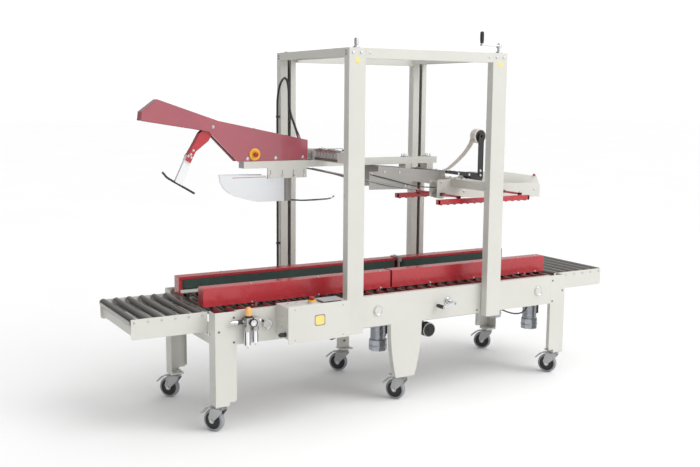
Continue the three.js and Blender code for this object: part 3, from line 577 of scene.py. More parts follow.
TABLE_PITCH = 69
TABLE_FIRST = 1514
TABLE_ROLLERS = 6
TABLE_ROLLER_HALF = 259.4
INFEED_MOTOR_X = -81
BED_PITCH = 69.375
BED_FIRST = INFEED_MOTOR_X - BED_PITCH * 14.5
BED_ROLLERS = 32
BED_ROLLER_HALF = 358.4
ROLLER_Z = 593.5
ROLLER_R = 21.6
HEAD_GAP_X = (206, 614)
HEAD_GAP_HALF = 53.5


def table(flow):
    """Side plates and cross bars of the roller table at one end."""
    node = f"{flow}_table_frame"
    sign = -1 if flow == "infeed" else 1
    piece = Piece(node + "_weldment").add(CREAM, sheet_metal(node))
    for y in (-1, 1):
        for i in range(TABLE_ROLLERS):
            x = sign * (TABLE_FIRST - i * TABLE_PITCH)
            piece.bolt((x, y * 264, ROLLER_Z), (0, y, 0), 6, ZINC, kind="pan")
        # Fold along the bottom edge of each side plate.
        piece.add(CREAM, box(sorted((sign * 1500, sign * 1150)), sorted((y * 262, y * 240)), (508.5, 511.5),
                             1))
    for x in (1300, 1420):
        piece.add(CREAM, box(sorted((sign * (x - 12), sign * (x + 12))), (-261, 261), (512, 530), 1.2))
    finish_node(piece, "frame", node)


def roller_mesh(name, half, inner=0.0):
    """One roller: shell with rolled ends, bearing seats and an axle; inner cuts it short of the middle."""
    piece = Piece(name)
    ends = [(-half, half)] if not inner else [(-half, -inner), (inner, half)]
    for low, high in ends:
        a, b = (0, low, 0), (0, high, 0)
        length = high - low
        piece.add(ROLLER, turned(a, b, [
            (2.5, 0), (2.5, 14), (0.6, 18), (0, ROLLER_R - 1.6), (0.5, ROLLER_R - 0.5), (1.8, ROLLER_R),
            (length - 1.8, ROLLER_R), (length - 0.5, ROLLER_R - 0.5), (length, ROLLER_R - 1.6),
            (length - 0.6, 18), (length - 2.5, 14), (length - 2.5, 0)], 36))
    return piece


def rollers():
    """Both tables' rollers and the bed's, one piece each."""
    def deck(where, positions, half):
        for i, x in enumerate(positions):
            # The lower tape head comes up between short rollers.
            split = where == "bed" and HEAD_GAP_X[0] < x + 22 and x - 22 < HEAD_GAP_X[1]
            piece = roller_mesh(f"{where}_roller_{i + 1:02d}", half, HEAD_GAP_HALF if split else 0)
            for v in piece.bm.verts:
                v.co += Vector((x / 1000, 0, ROLLER_Z / 1000))
            finish_node(piece, "frame", f"{where}_rollers")

    from_end = [TABLE_FIRST - i * TABLE_PITCH for i in range(TABLE_ROLLERS)]
    deck("infeed", [-x for x in from_end], TABLE_ROLLER_HALF)
    deck("outfeed", from_end, TABLE_ROLLER_HALF)
    deck("bed", [BED_FIRST + i * BED_PITCH for i in range(BED_ROLLERS)], BED_ROLLER_HALF)


def bed_underside():
    """Cross shafts that the belts slide on, the width screw, and the trunking under the bed."""
    shafts = Piece("belt_guide_shafts")
    for x in SHAFT_X:
        shafts.add(BRIGHT, rod((x, -BED_INSIDE, SHAFT_Z), (x, BED_INSIDE, SHAFT_Z), 11, 0.8))
        for y in (-1, 1):
            shafts.add(SHEET_STEEL, rod((x, y * BED_INSIDE, SHAFT_Z), (x, y * 346, SHAFT_Z), 24, 1))
    shafts.place("frame", slot="bright_steel")
    screw = Piece("width_screw")
    sx, sz = WIDTH_SCREW
    threaded = 300
    grooved = thread(0, 0, (-threaded, threaded), 8, 4, 1.2, 14)
    for v in grooved.verts:
        x, y, z = v.co
        v.co = at(sx, z * 1000, sz) + Vector((x, 0, y - PATH_Y))
    for low, high in ((-BED_INSIDE, -threaded), (threaded, BED_INSIDE)):
        screw.add(SCREW_STEEL, rod((sx, low, sz), (sx, high, sz), 8))
    screw.add(SCREW_STEEL, grooved)
    for y in (-1, 1):
        screw.add(SHEET_STEEL, rod((sx, y * BED_INSIDE, sz), (sx, y * 340, sz), 17, 1))
    screw.place("frame", slot="bright_steel")
    trunk = Piece("cable_trunking")
    trunk.add(GREY_PANEL, box((-530, 640), (-336, -306), (440, 449.5), 1))
    trunk.place("frame", slot="frame_paint")


MOTOR_LEAD = [(640, -321, 445), (668, -321.6, 443), (700, -320, 434), (745, -314, 416), (800, -302, 400),
              (860, -283, 392), (915, -256, 394), (955, -230, 405), (976, -213, 415), (990, -200, 424)]
MOTOR_LEAD_R = 4.2


def motor_lead():
    """The lead that hangs between the trunking and the front outfeed motor, which slides with its belt."""
    lead = Piece("motor_lead_front_outfeed").add(HOSE, pipe(MOTOR_LEAD, MOTOR_LEAD_R, 12, 8)).build()
    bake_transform(lead)
    relief = Piece("motor_lead_relief")
    relief.add(BLACK_PLASTIC, turned((636, -321, 445.2), (666, -321.6, 443.2), [
        (0, 0), (0, 8), (5, 8), (6, 7), (24, 5.4), (29, 4.9), (30, 4.2)], 24))
    relief.place("frame", slot="black_plastic")


for side in SIDES:
    bed_side(side)
for flow in FLOW:
    end_frame(flow)
    table(flow)
rollers()
bed_underside()
motor_lead()

# ------------------------------------------------------------------ gantry
COLUMNS = {"folder": -375, "tape": 544}
COLUMN_IN, COLUMN_OUT = 367, 417
SCREW_Y = 392
SCREW_R = 8.2
CRANK_Z = 1964
TOP = span("top_frame")[2][1]
COLUMN_LOW = span("folder_column_front")[2][0]
SCREW_LOW = span("folder_lift_screw")[2][0]


def column(which, side):
    """One gantry column: an open channel round its lifting screw."""
    sign = SIDES[side]
    x = COLUMNS[which]
    node = f"{which}_column_{side}"
    piece = Piece(node + "_channel").add(CREAM, sheet_metal(node, 1.6))
    if side == "front":
        for dx in (-26, 22):
            piece.bolt((x + dx, -COLUMN_OUT, TOP - 24), (0, -1, 0), 7)
        # Plain disc in place of a sticker.
        piece.add(LABEL, turned((x, -COLUMN_OUT, 1861), (x, -COLUMN_OUT - 1, 1861),
                                [(0, 15), (0.4, 15), (0.7, 14.4), (0.7, 0)], 36))
    for edge in (-1, 1):
        for z in (TOP - 18, TOP - 34):
            piece.bolt((x + edge * 49, sign * (COLUMN_IN + 22), z), (edge, 0, 0), 6)
        piece.bolt((x + edge * 49, sign * (COLUMN_IN + 14), 1165), (edge, 0, 0), 6, kind="pan")
    # Clip across the slot half way up.
    piece.add(ZINC, box((x - 14, x + 26), sorted((sign * (COLUMN_IN - 3), sign * COLUMN_IN)), (1160, 1172),
                        0.8))
    piece.add(CREAM, box((x - 46, x + 46), sorted((sign * (COLUMN_IN + 3), sign * (COLUMN_OUT - 3))),
                         (COLUMN_LOW + 0.4, COLUMN_LOW + 4), 0.5))
    finish_node(piece, "frame", node)
    if side == "rear":
        # Rear lifting screw, chained to the front one under the bed.
        rear = Piece(f"{which}_lift_screw_rear")
        sx = x + 6
        rear.add(SCREW_STEEL, rod((sx, SCREW_Y, SCREW_LOW), (sx, SCREW_Y, TOP + 6), SCREW_R))
        rear.add(SCREW_STEEL, thread(sx, SCREW_Y, (SCREW_LOW + 10, TOP - 30), 10, 5))
        rear.add(BRIGHT, rod((sx, SCREW_Y, TOP + 0.4), (sx, SCREW_Y, TOP + 8), 16, 1))
        rear.place("frame", slot="bright_steel")


def top_frame():
    """The rectangle of channel on top of the columns."""
    piece = Piece("top_frame_weldment").add(CREAM, sheet_metal("top_frame", 1.6))
    for x in COLUMNS.values():
        for y in (-1, 1):
            piece.add(CREAM, plate(arc((x, y * SCREW_Y), 20, 0, 350, 23), "xy", (TOP, TOP + 0.4), 0))
    for x in (-300, 470):
        piece.bolt((x, -417, TOP - 26), (0, -1, 0), 6, kind="pan")
    finish_node(piece, "frame", "top_frame")


def lift_screw(which):
    """A front lifting screw: bare end for the folder, crank for the tape head."""
    x = COLUMNS[which] + 6
    y = -SCREW_Y
    name = "folder_lift_screw" if which == "folder" else "tape_lift_crank"
    top = span(name)[2][1]
    piece = Piece(name + "_assembly")
    piece.add(SCREW_STEEL, rod((x, y, SCREW_LOW), (x, y, TOP + 6), SCREW_R))
    piece.add(SCREW_STEEL, thread(x, y, (SCREW_LOW + 10, TOP - 30), 10, 5))
    # Flanged bearing on the top frame.
    piece.add(BRIGHT, turned((x, y, TOP + 0.4), (x, y, TOP + 12), [
        (0, 20), (3, 20), (4, 19), (4, 14), (9, 13), (10, 12), (10, 10)], 32))
    if which == "folder":
        piece.add(BRIGHT, rod((x, y, TOP + 6), (x, y, top), 8.5, 1))
        piece.add(ZINC, turned((x, y, top - 36), (x, y, top - 0.2), [
            (0, 8), (2, 10.4), (30, 10.6), (34, 9), (35.8, 5), (35.8, 0)], 28))
        finish_node(piece, "folder_screw", name)
        return
    arm = span(name)[0][0] + 11
    z = CRANK_Z
    piece.add(BRIGHT, rod((x, y, TOP + 6), (x, y, z + 10), 8, 1), rod((x, y, z - 14), (x, y, z + 8), 14, 1.5))
    piece.add(BRIGHT, plate([*arc((arm, y), 10, 90, 270, 8), *arc((x, y), 12, -90, 90, 8)], "xy",
                            (z - 4, z + 4), 1.2))
    piece.bolt((x, y, z + 8), (0, 0, 1), 7)
    # Tapered grip that spins on its pin.
    piece.add(BRIGHT, rod((arm, y, z + 3), (arm, y, z + 14), 5))
    piece.add(BLACK_PLASTIC, turned((arm, y, z + 9), (arm, y, top), [
        (0, 0), (0, 8), (2, 9.5), (20, 10.8), (48, 11), (60, 10), (63.5, 7), (top - z - 9, 0)], 28))
    finish_node(piece, "tape_crank", name)


for which in COLUMNS:
    for side in SIDES:
        column(which, side)
    lift_screw(which)
top_frame()

# ------------------------------------------------------------------ side belts
GUARDS = {(side, flow): span(f"belt_guard_{side}_{flow}")[0] for side in SIDES for flow in FLOW}
GUARD_SCREWS = (-873, -480, -89, 246, 560, 898, 1033)
MOTOR_STEPS = {("front", "infeed"): 0, ("front", "outfeed"): 16, ("rear", "infeed"): 4,
               ("rear", "outfeed"): 16}
MOTOR_X = {key: INFEED_MOTOR_X + steps * BED_PITCH for key, steps in MOTOR_STEPS.items()}
CARRIER_Y = 175


def belt_guard(side, flow):
    """Red cover of one drive belt."""
    sign = SIDES[side]
    x0, x1 = GUARDS[side, flow]
    node = f"belt_guard_{side}_{flow}"
    piece = Piece(node + "_cover").add(RED, sheet_metal(node, 1.5))
    for x in GUARD_SCREWS:
        if x0 + 20 < x < x1 - 20:
            piece.bolt((x, sign * 196, 716), (0, 0, 1), 7, kind="pan")
            piece.bolt((x, sign * 210, 624), (0, sign, 0), 5, kind="pan")
    # Cream channel that the belt runs along, and the red return of the cover over it.
    piece.add(CREAM, box((x0 + 8, x1 - 8), sorted((sign * 136, sign * 186)), (629, 646), 1))
    piece.add(RED, box((x0 + 8, x1 - 8), sorted((sign * 137, sign * 190)), (701.6, 712), 1))
    finish_node(piece, f"belts_{side}", node)


def drive_belt(side, flow):
    """Rubber belt round its two pulleys."""
    sign = SIDES[side]
    x0, x1 = GUARDS[side, flow]
    node = f"drive_belt_{side}_{flow}"
    left, right, middle = x0 + 43, x1 - 43, sign * 165
    piece = Piece(node + "_loop")

    def loop(radius, count=14):
        return [*arc((right, middle), radius, -90, 90, count), *arc((left, middle), radius, 90, 270, count)]

    outer, inner = loop(31), loop(27.5)
    bm = bmesh.new()
    rings = [[bm.verts.new(at(px, py, pz)) for px, py in line]
             for line, pz in ((outer, 652), (outer, 700), (inner, 700.8), (inner, 651.2))]
    for a, b in zip(rings, rings[1:] + rings[:1]):
        for i in range(len(a)):
            j = (i + 1) % len(a)
            bm.faces.new((a[i], a[j], b[j], b[i]))
    bmesh.ops.recalc_face_normals(bm, faces=bm.faces)
    piece.add(BELT, bm)
    for x in (left, right):
        piece.add(SHEET_STEEL, turned((x, middle, 651.5), (x, middle, 700.5), [
            (0, 0), (0, 26), (1, 27), (3, 27), (46, 27), (48, 27), (49, 26), (49, 9), (46, 8), (46, 0)], 32))
    piece.add(SHEET_STEEL, box((left + 34, right - 34), sorted((sign * 140.5, sign * 186)), (655, 697), 1))
    finish_node(piece, f"belts_{side}", node)


def gear_motor(side, flow):
    """Upright motor and gearbox under one belt."""
    sign = SIDES[side]
    x, y = MOTOR_X[side, flow], sign * CARRIER_Y
    node = f"gear_motor_{side}_{flow}"
    piece = Piece(node + "_unit")
    # Finned stator, fan cover with a slotted end, flange, gearbox and output shaft.
    profile = [(0, 40)]
    for z in range(6, 116, 10):
        profile += [(z, 40), (z + 0.8, 43.6), (z + 3.4, 43.6), (z + 4.2, 40)]
    profile += [(122, 40)]
    piece.add(MOTOR, turned((x, y, 319), (x, y, 441), [(0, 0), *profile, (122, 0)], 36))
    # Eight-sided fan cover with a raised band round it.
    for z0, z1, r in ((261, 324, 51.6), (264, 280, 51.9), (318, 326, 49)):
        cover = rod((x, y, z0), (x, y, z1), r, 3, 8)
        bmesh.ops.rotate(cover, verts=cover.verts, cent=at(x, y, z0),
                         matrix=Matrix.Rotation(math.radians(22.5), 3, "Z"))
        piece.add(MOTOR, cover)
    piece.add(MOTOR, ring((x, y, 284), (x, y, 290), 51.9, 46, 1, 40))
    for c, s in around(24):
        spot = (x + 23 * c, y + 23 * s)
        piece.add(BLACK_PLASTIC, rod((*spot, 261.2), (*spot, 263), 3, 0.1, 8))
    piece.bolts((x - 36, x + 36), (y - 36, y + 36), 442, (0, 0, -1), 6)
    for half, z, edge in ((43.5, (440, 452), 2.5), (41, (451, 545), 4), (43.5, (544, 555.5), 2.5)):
        piece.add(MOTOR, box((x - half, x + half), (y - half, y + half), z, edge))
    piece.add(BRIGHT, rod((x, y, 555), (x, y, 562), 17, 1), rod((x, y, 560), (x, y, 650.5), 8, 0.5))
    piece.add(BLACK_PLASTIC, box((x + 38, x + 57.5), (y - 20, y + 20), (350, 410), 3))
    piece.add(BLACK_PLASTIC, rod((x + 48, y, 351), (x + 48, y, 336), 7, 1, 6))
    # Blank rating plate.
    piece.add(BRIGHT, box((x - 18, x + 18), sorted((y + sign * 40.6, y + sign * 41.8)), (480, 512), 0.4))
    finish_node(piece, f"belts_{side}", node)


def belt_carriers(side):
    """Slide blocks on the guide shafts and the posts that hold the belts, between the rollers."""
    sign = SIDES[side]
    y = sign * CARRIER_Y
    piece = Piece(f"belt_carriers_{side}")
    for x in SHAFT_X:
        gap = BED_FIRST + BED_PITCH * (round((x - BED_FIRST) / BED_PITCH - 0.5) + 0.5)
        piece.add(SHEET_STEEL, box((x - 24, x + 24), (y - 30, y + 30), (SHAFT_Z - 24, SHAFT_Z + 24), 2))
        piece.add(SHEET_STEEL, box((gap - 8, gap + 8), (y - 24, y + 24), (SHAFT_Z + 20, 631), 1))
        piece.bolts(x - 24, (y - 20, y + 20), SHAFT_Z + 14, (-1, 0, 0), 6)
    sx, sz = WIDTH_SCREW
    piece.add(SHEET_STEEL, box((sx - 16, sx + 16), (y - 25, y + 25), (sz - 16, sz + 16), 2))
    piece.place(f"belts_{side}", slot="bright_steel")


for key in GUARDS:
    belt_guard(*key)
    drive_belt(*key)
    gear_motor(*key)
for side in SIDES:
    belt_carriers(side)


def rear_joint():
    """Guide roller and sensor post at the joint of the rear belts."""
    piece = Piece("rear_joint_roller")
    piece.add(SHEET_STEEL, rod((257, 141, 624), (257, 141, 712), 9, 1))
    piece.add(SHEET_STEEL, box((243, 271), (128, 156), (690, 726), 1.4),
              box((238, 276), (130, 206), (717, 722), 1))
    piece.bolt((257, 190, 722), (0, 0, 1), 7)
    piece.add(CREAM, box((240, 274), (142, 206), (624, 627.5), 0.8))
    piece.place("belts_rear", slot="bright_steel")


rear_joint()

# ------------------------------------------------------------------ casters
CASTER_X = {"infeed": -1103, "centre": -16, "outfeed": 1103}
CASTER_Y = 323
TRAIL = 35
WHEEL_R = 57
CASTER_TURN = {"front": -58, "rear": -46}


def swivelled(piece, side, place):
    """Turn a caster's mesh about its swivel to where it stands at rest."""
    turn = Matrix.Rotation(math.radians(CASTER_TURN[side]), 3, "Z")
    bmesh.ops.rotate(piece.bm, verts=piece.bm.verts, cent=at(CASTER_X[place], SIDES[side] * CASTER_Y, 0),
                     matrix=turn)
    return piece


def caster(side, place):
    """Fork with its brake pedal, and the wheel."""
    x, y = CASTER_X[place], SIDES[side] * CASTER_Y
    fork = Piece(f"caster_fork_{side}_{place}_swivel")
    # Top plate race: two pressed cups with the ball race between them.
    fork.add(FORK, turned((x, y, 126), (x, y, 141.6), [
        (0, 0), (0, 25), (2, 27), (5, 27.6), (6.4, 25), (7.4, 24.2), (8.4, 25), (10, 28.5), (13, 29),
        (15.6, 27), (15.6, 0)], 36))
    crown = [(x - 42, 127), (x + 22, 127), (x + 27, 124), (x + 27, 119), (x + 22, 120.5), (x - 40, 120.5)]
    fork.add(FORK, plate(crown, "xz", (y - 23.8, y + 23.8), 1))
    fork.bolt((x, y, 126.2), (0, 0, -1), 10)
    hub = (x - TRAIL, WHEEL_R)
    for s in (-1, 1):
        cheek = [(x + 27, 126), (x + 27, 110), (x + 6, 84), *arc(hub, 15, 10, -160, 8), (hub[0] - 21, 70),
                 (x - 42, 120), (x - 42, 126)]
        fork.add(FORK, plate(cheek, "xz", sorted((y + s * 20.3, y + s * 23.8)), 1))
        fork.bolt((hub[0], y + s * 23.8, hub[1]), (0, s, 0), 8)
        # Folded stiffener down each leg.
        fork.add(FORK, pipe([(x - 34, y + s * 23.6, 118), (x - 39, y + s * 23.9, 92),
                             (x - 40, y + s * 23.6, 74)],
                            2.4, 8, 4))
    # Brake pedal: bent sheet with a rolled tread, over the wheel.
    pedal = [(x - 34, 129), (x - 68, 121), (x - 98, 99), (x - 112, 86), (x - 108, 80), (x - 94, 92),
             (x - 66, 115), (x - 34, 123.5)]
    fork.add(FORK, plate(pedal, "xz", (y - 16.5, y + 16.5), 1.4))
    for k in range(3):
        px, pz = x - 84 - 9 * k, 111.5 - 8.2 * k
        fork.add(FORK, rod((px, y - 14, pz), (px, y + 14, pz), 1.5, 0.4, 10))
    finish_node(swivelled(fork, side, place), f"swivel_{side}_{place}", f"caster_fork_{side}_{place}")

    wheel = Piece(f"caster_wheel_{side}_{place}_tyre")
    cx, cz = hub
    wheel.add(TYRE, hoop((cx, y - 16, cz), (cx, y + 16, cz), [
        (2, 43), (0.8, 45), (0.4, 47), (1, 51), (3, 54), (8, 56.6), (16, 57), (24, 56.6), (29, 54), (31, 51),
        (31.6, 47), (31.2, 45), (30, 43)], 56))
    for s in (-1, 1):
        # Dished hub with a raised rim and a bearing boss.
        wheel.add(HUB, turned((cx, y + s * 8, cz), (cx, y + s * 20, cz), [
            (0, 0), (0, 44.5), (6.6, 45), (7.8, 43.5), (7.6, 40.5), (5, 38.5), (3.4, 34), (3.2, 22), (5, 17),
            (9, 15), (11, 13.5), (11.6, 11), (11.6, 0)], 44))
        wheel.add(FORK, rod((cx, y + s * 19, cz), (cx, y + s * 20.2, cz), 9, 0.4))
        for c, d in around(6, 15):
            px, pz = cx + 26 * c, cz + 26 * d
            wheel.add(HUB, rod((px, y + s * 10.6, pz), (px, y + s * 12.6, pz), 5, 0.5, 14))
    finish_node(swivelled(wheel, side, place), f"wheel_{side}_{place}", f"caster_wheel_{side}_{place}")


for side in SIDES:
    for place in CASTER_X:
        caster(side, place)

# ------------------------------------------------------------------ control box
BOX_X, _, BOX_Z = span("control_box")
BOX_STOP = (-645, -440)
BOX_GLAND = (-507, -430)
BOX_LABEL = (-632, 561)
BOX_PLUG = (-474, 500)


def control_box():
    """Box with a panel and a stop button on top, and a blank label on its cover."""
    low, top = BOX_Z
    body = Piece("control_box_body").add(CREAM, sheet_metal("control_box", 1.2))
    # Panel let into the top, with the cable gland below.
    body.add(GREY_PANEL, box((-600, -478), (-478, -385), (top - 0.2, top + 2.4), 1))
    bx, by = BOX_STOP
    body.add(COLLAR, turned((bx, by, top), (bx, by, top + 8), [
        (0, 22), (1, 22.4), (3, 22.4), (6, 20), (8, 17), (8, 10.5), (1.5, 10.5), (1.5, 0)], 36))
    body.add(BLACK_PLASTIC, turned((*BOX_GLAND, low), (*BOX_GLAND, low - 21.8), [
        (0, 13), (5, 13), (5, 11.6), (12, 11.6), (13, 12.2), (18, 11.4), (21.8, 8), (21.8, 0)], 24))
    body.bolts((BOX_X[0] + 34, BOX_X[0] + 84), -430, top, (0, 0, 1), 6, kind="pan")
    for k in range(4):
        # Louvre slots on the infeed end.
        x, z = BOX_X[0], low + 56 + 22 * k
        body.add(CREAM, plate([(x, z), (x - 2.6, z + 2), (x - 2.6, z + 4), (x, z + 12)], "xz", (-450, -385),
                              0.6))
    finish_node(body, "frame", "control_box")
    cover = Piece("control_box_cover_plate")
    front, back = span("control_box_cover")[1]
    cover.add(CREAM, box(BOX_X, (front + 1, back), BOX_Z, 1.6))
    corners = (BOX_X[0] + 38, BOX_X[1] - 38), front + 4.2, (low + 16, top - 20)
    cover.bolts(*corners, (0, -1, 0), 6, SCREW_STEEL, "pan")
    # Blank label with a dark border.
    cut = 7
    for grow, look, out in ((4, SCREW_STEEL, 0.7), (0, LABEL, 0.3)):
        u, v = 26 + grow, 24 + grow
        right = [(u - cut, -v), (u, -v + cut), (u, v - cut), (u - cut, v)]
        left = [(-a, b) for a, b in reversed(right)]
        outline = [(BOX_LABEL[0] + a, BOX_LABEL[1] + b) for a, b in (left[-1], *right, *left[:-1])]
        cover.add(look, plate(outline, "xz", (front + out, front + 2), 0.1))
    finish_node(cover, "frame", "control_box_cover")
    button = Piece("control_box_stop_button")
    button.add(BUTTON, turned((bx, by, top + 6), (bx, by, top + 27), [
        (0, 0), (0, 9), (7, 9), (8, 11), (10, 15), (13, 15.6), (16, 14.8), (19, 11), (20.6, 6), (21, 0)], 36))
    finish_node(button, "box_stop", "control_box_button")


control_box()


def flex_lead(name, points, radius):
    """A short lead that is fixed at both ends to the frame."""
    piece = Piece(name).add(HOSE, pipe(points, radius, 10, 8))
    piece.place("frame", slot="black_hose")


def side_gland():
    """Blanked cable gland on the infeed end of the control box."""
    piece = Piece("control_box_side_plug")
    x, (y, z) = BOX_X[0], BOX_PLUG
    piece.add(BLACK_PLASTIC, rod((x + 1, y, z), (x - 9, y, z), 13, 1, 6))
    piece.add(BLACK_PLASTIC, turned((x - 8, y, z), (x - 38, y, z), [
        (0, 0), (0, 11), (4, 11.6), (8, 11.6), (9, 10.8), (13, 10.8), (14, 11.6), (19, 11.4), (26, 9),
        (30, 7), (30, 0)], 28))
    piece.place("frame", slot="black_plastic")


side_gland()
flex_lead("control_box_lead", [(*BOX_GLAND, 458), (*BOX_GLAND, 448), (-507, -424, 434), (-507, -400, 424),
                               (-507, -368, 424), (-507, -342, 432), (-507, -330, 446)], 5)


# ------------------------------------------------------------------ width crank
def width_crank():
    """Bearing, arm and grip of the crank that sets the belts' width."""
    x, z = WIDTH_SCREW
    face = -BED_OUTSIDE - 0.3
    piece = Piece("width_crank_assembly")
    piece.add(BRIGHT, turned((x, face, z), (x, face - 24, z),
                             [(0, 24), (3, 24), (4, 23), (4, 19), (20, 17), (23, 15), (24, 0)], 36))
    piece.add(BRIGHT, rod((x, face - 20, z), (x, face - 82, z), 9, 1))
    tip = (x - 76, z - 16)
    piece.add(BRIGHT, plate([*arc(tip, 9, 100, 260, 8), *arc((x, z), 13, -80, 100, 10)], "xz",
                            (face - 78, face - 70), 1.4))
    piece.bolt((x, face - 82, z), (0, -1, 0), 8)
    piece.add(BRIGHT, rod((tip[0], face - 84, tip[1]), (tip[0], face - 66, tip[1]), 5))
    piece.add(BLACK_PLASTIC, turned((tip[0], face - 68, tip[1]), (tip[0], face - 6, tip[1]), [
        (0, 0), (0, 8), (3, 9.6), (24, 11), (48, 10.6), (58, 9.4), (62, 6), (62, 0)], 28))
    finish_node(piece, "width_handle", "width_crank")


width_crank()


# ------------------------------------------------------------------ filter regulator
STAVE_HALF = math.radians(31)


def filter_regulator():
    """Air filter and regulator with knob, gauge, two bowls and inlet valve."""
    y, port_z, knob_x, gauge_x = -398, 568, -977, -961
    piece = Piece("filter_regulator_unit")
    # Mounting bracket and the two port blocks joined by a clamp.
    piece.add(SHEET_STEEL, box((-1000, -922), (-372, -363.4), (552, 586), 1))
    for x in (-978, -940):
        piece.add(SHEET_STEEL, box((x - 17, x + 17), (y - 19, y + 22), (546, 590), 4))
    piece.add(BLACK_PLASTIC, box((-962, -956), (y - 21, y + 18), (545, 592), 1.4))
    piece.add(BLACK_PLASTIC, turned((knob_x, y, 589), (knob_x, y, 600),
                                    [(0, 0), (0, 17), (2, 20), (9, 20), (11, 18), (11, 0)], 36))
    piece.add(KNOB, turned((knob_x, y, 599), (knob_x, y, 642), [
        (0, 0), (0, 15), (1, 16.6), (3, 17.6), (30, 17.6), (35, 16.2), (37, 13), (38, 11.4), (42, 10.4),
        (43, 8), (43, 0)], 40))
    for c, s in around(18):
        spot = (knob_x + 17.2 * c, y + 17.2 * s)
        piece.add(KNOB, rod((*spot, 603), (*spot, 628), 1.1, 0.4, 8))
    piece.add(BRIGHT, rod((knob_x, y, 641), (knob_x, y, 645), 3, 0.4))
    for x, low in ((-982, 434), (-940, 446)):
        piece.add(BOWL, turned((x, y, 520), (x, y, low + 14), [
            (0, 0), (0, 15.5), (520 - low - 22, 15.5), (520 - low - 16, 12), (520 - low - 14, 8),
            (520 - low - 14, 0)], 32))
        # Bowl guard with sight slots.
        piece.add(SHEET_STEEL, turned((x, y, 546), (x, y, 518),
                                      [(0, 0), (0, 16.6), (20, 16.9), (26, 16.6), (28, 15), (28, 0)], 32))
        for k in range(4):
            middle = math.radians(70 + 90 * k)
            stave = rod((x, y, 520), (x, y, low + 14), 17, 1, 48)
            cut = []
            for face in stave.faces:
                centre = face.calc_center_median()
                angle = math.atan2(centre.y - at(0, y, 0).y, centre.x - x / 1000)
                if abs((angle - middle + math.pi) % (2 * math.pi) - math.pi) > STAVE_HALF:
                    cut.append(face)
            bmesh.ops.delete(stave, geom=cut, context="FACES")
            bmesh.ops.solidify(stave, geom=stave.faces[:], thickness=0.0012)
            piece.add(DIAL, stave)
        piece.add(DIAL, turned((x, y, low + 18), (x, y, low + 10),
                               [(0, 0), (0, 16.9), (4, 15), (8, 9), (8, 0)], 32))
        piece.add(BRIGHT, turned((x, y, low + 12), (x, y, low),
                                 [(0, 0), (0, 7), (2, 6), (4, 4.6), (12, 4.2), (12, 0)], 20))
    gauge_z = 566
    gauge = (gauge_x, y - 19, gauge_z)
    piece.add(BLACK_PLASTIC, ring(gauge, (gauge_x, y - 33.6, gauge_z), 20, 16.6, 1.2))
    piece.add(DIAL, rod(gauge, (gauge_x, y - 29, gauge_z), 17, 0.3, 36))
    piece.add(BUTTON, box((-962, -960.4), (y - 29.8, y - 28.8), (565, 578), 0.2))
    ticks = [arc((gauge_x, gauge_z), r, 225, -45, 8) for r in (11, 14.5)]
    for (x0, z0), (x1, z1) in zip(*ticks):
        piece.add(BLACK_PLASTIC, rod((x0, y - 29.4, z0), (x1, y - 29.4, z1), 0.5, 0.1, 6))
    # Shut-off slide valve, chrome coupling and plug on the inlet.
    cy = y + 12
    piece.add(BRIGHT, rod((-1010, cy, port_z), (-994, cy, port_z), 9, 1))
    piece.add(BLACK_PLASTIC, turned((-1030, cy, port_z), (-1006, cy, port_z),
                                    [(0, 9), (1, 12), (6, 12), (8, 10), (16, 10), (18, 12), (23, 12),
                                     (24, 9)], 28))
    piece.add(BRIGHT, turned((-1072, cy, port_z), (-1030, cy, port_z), [
        (0, 0), (0, 6), (2, 8), (8, 8), (9, 11.6), (20, 11.8), (22, 10), (26, 10), (28, 11.8), (38, 11.8),
        (40, 9), (42, 9)], 32))
    piece.bolts(-930, -372, (552, 584), (0, -1, 0), 5, kind="pan")
    # Elbow and air tube to the bed.
    piece.add(BRIGHT, rod((-923, y + 4, port_z), (-908, y + 4, port_z), 7, 1, 6))
    finish_node(piece, "frame", "filter_regulator")


filter_regulator()
flex_lead("regulator_tube", [(-909, -394, 568), (-898, -393, 568), (-890, -388, 562), (-887, -378, 556),
                             (-887, -366, 556)], 3.6)

# ------------------------------------------------------------------ lower tape head


LOWER_HUB = (380, 287)


def tape_roller(x, z, r):
    """A roller between the two plates of a tape head."""
    return turned((x, -34, z), (x, 34, z), [(0, 0), (0, r - 2), (2, r), (66, r), (68, r - 2), (68, 0)], 32)


def hub_windows(piece, centre, half, y, edge, first=0):
    """Three square pads round the face of a tape hub."""
    for c, s in around(3, first):
        x, z = centre[0] + 24 * c, centre[1] + 24 * s
        piece.add(BLACK_PLASTIC, box((x - half, x + half), y, (z - half, z + half), edge))


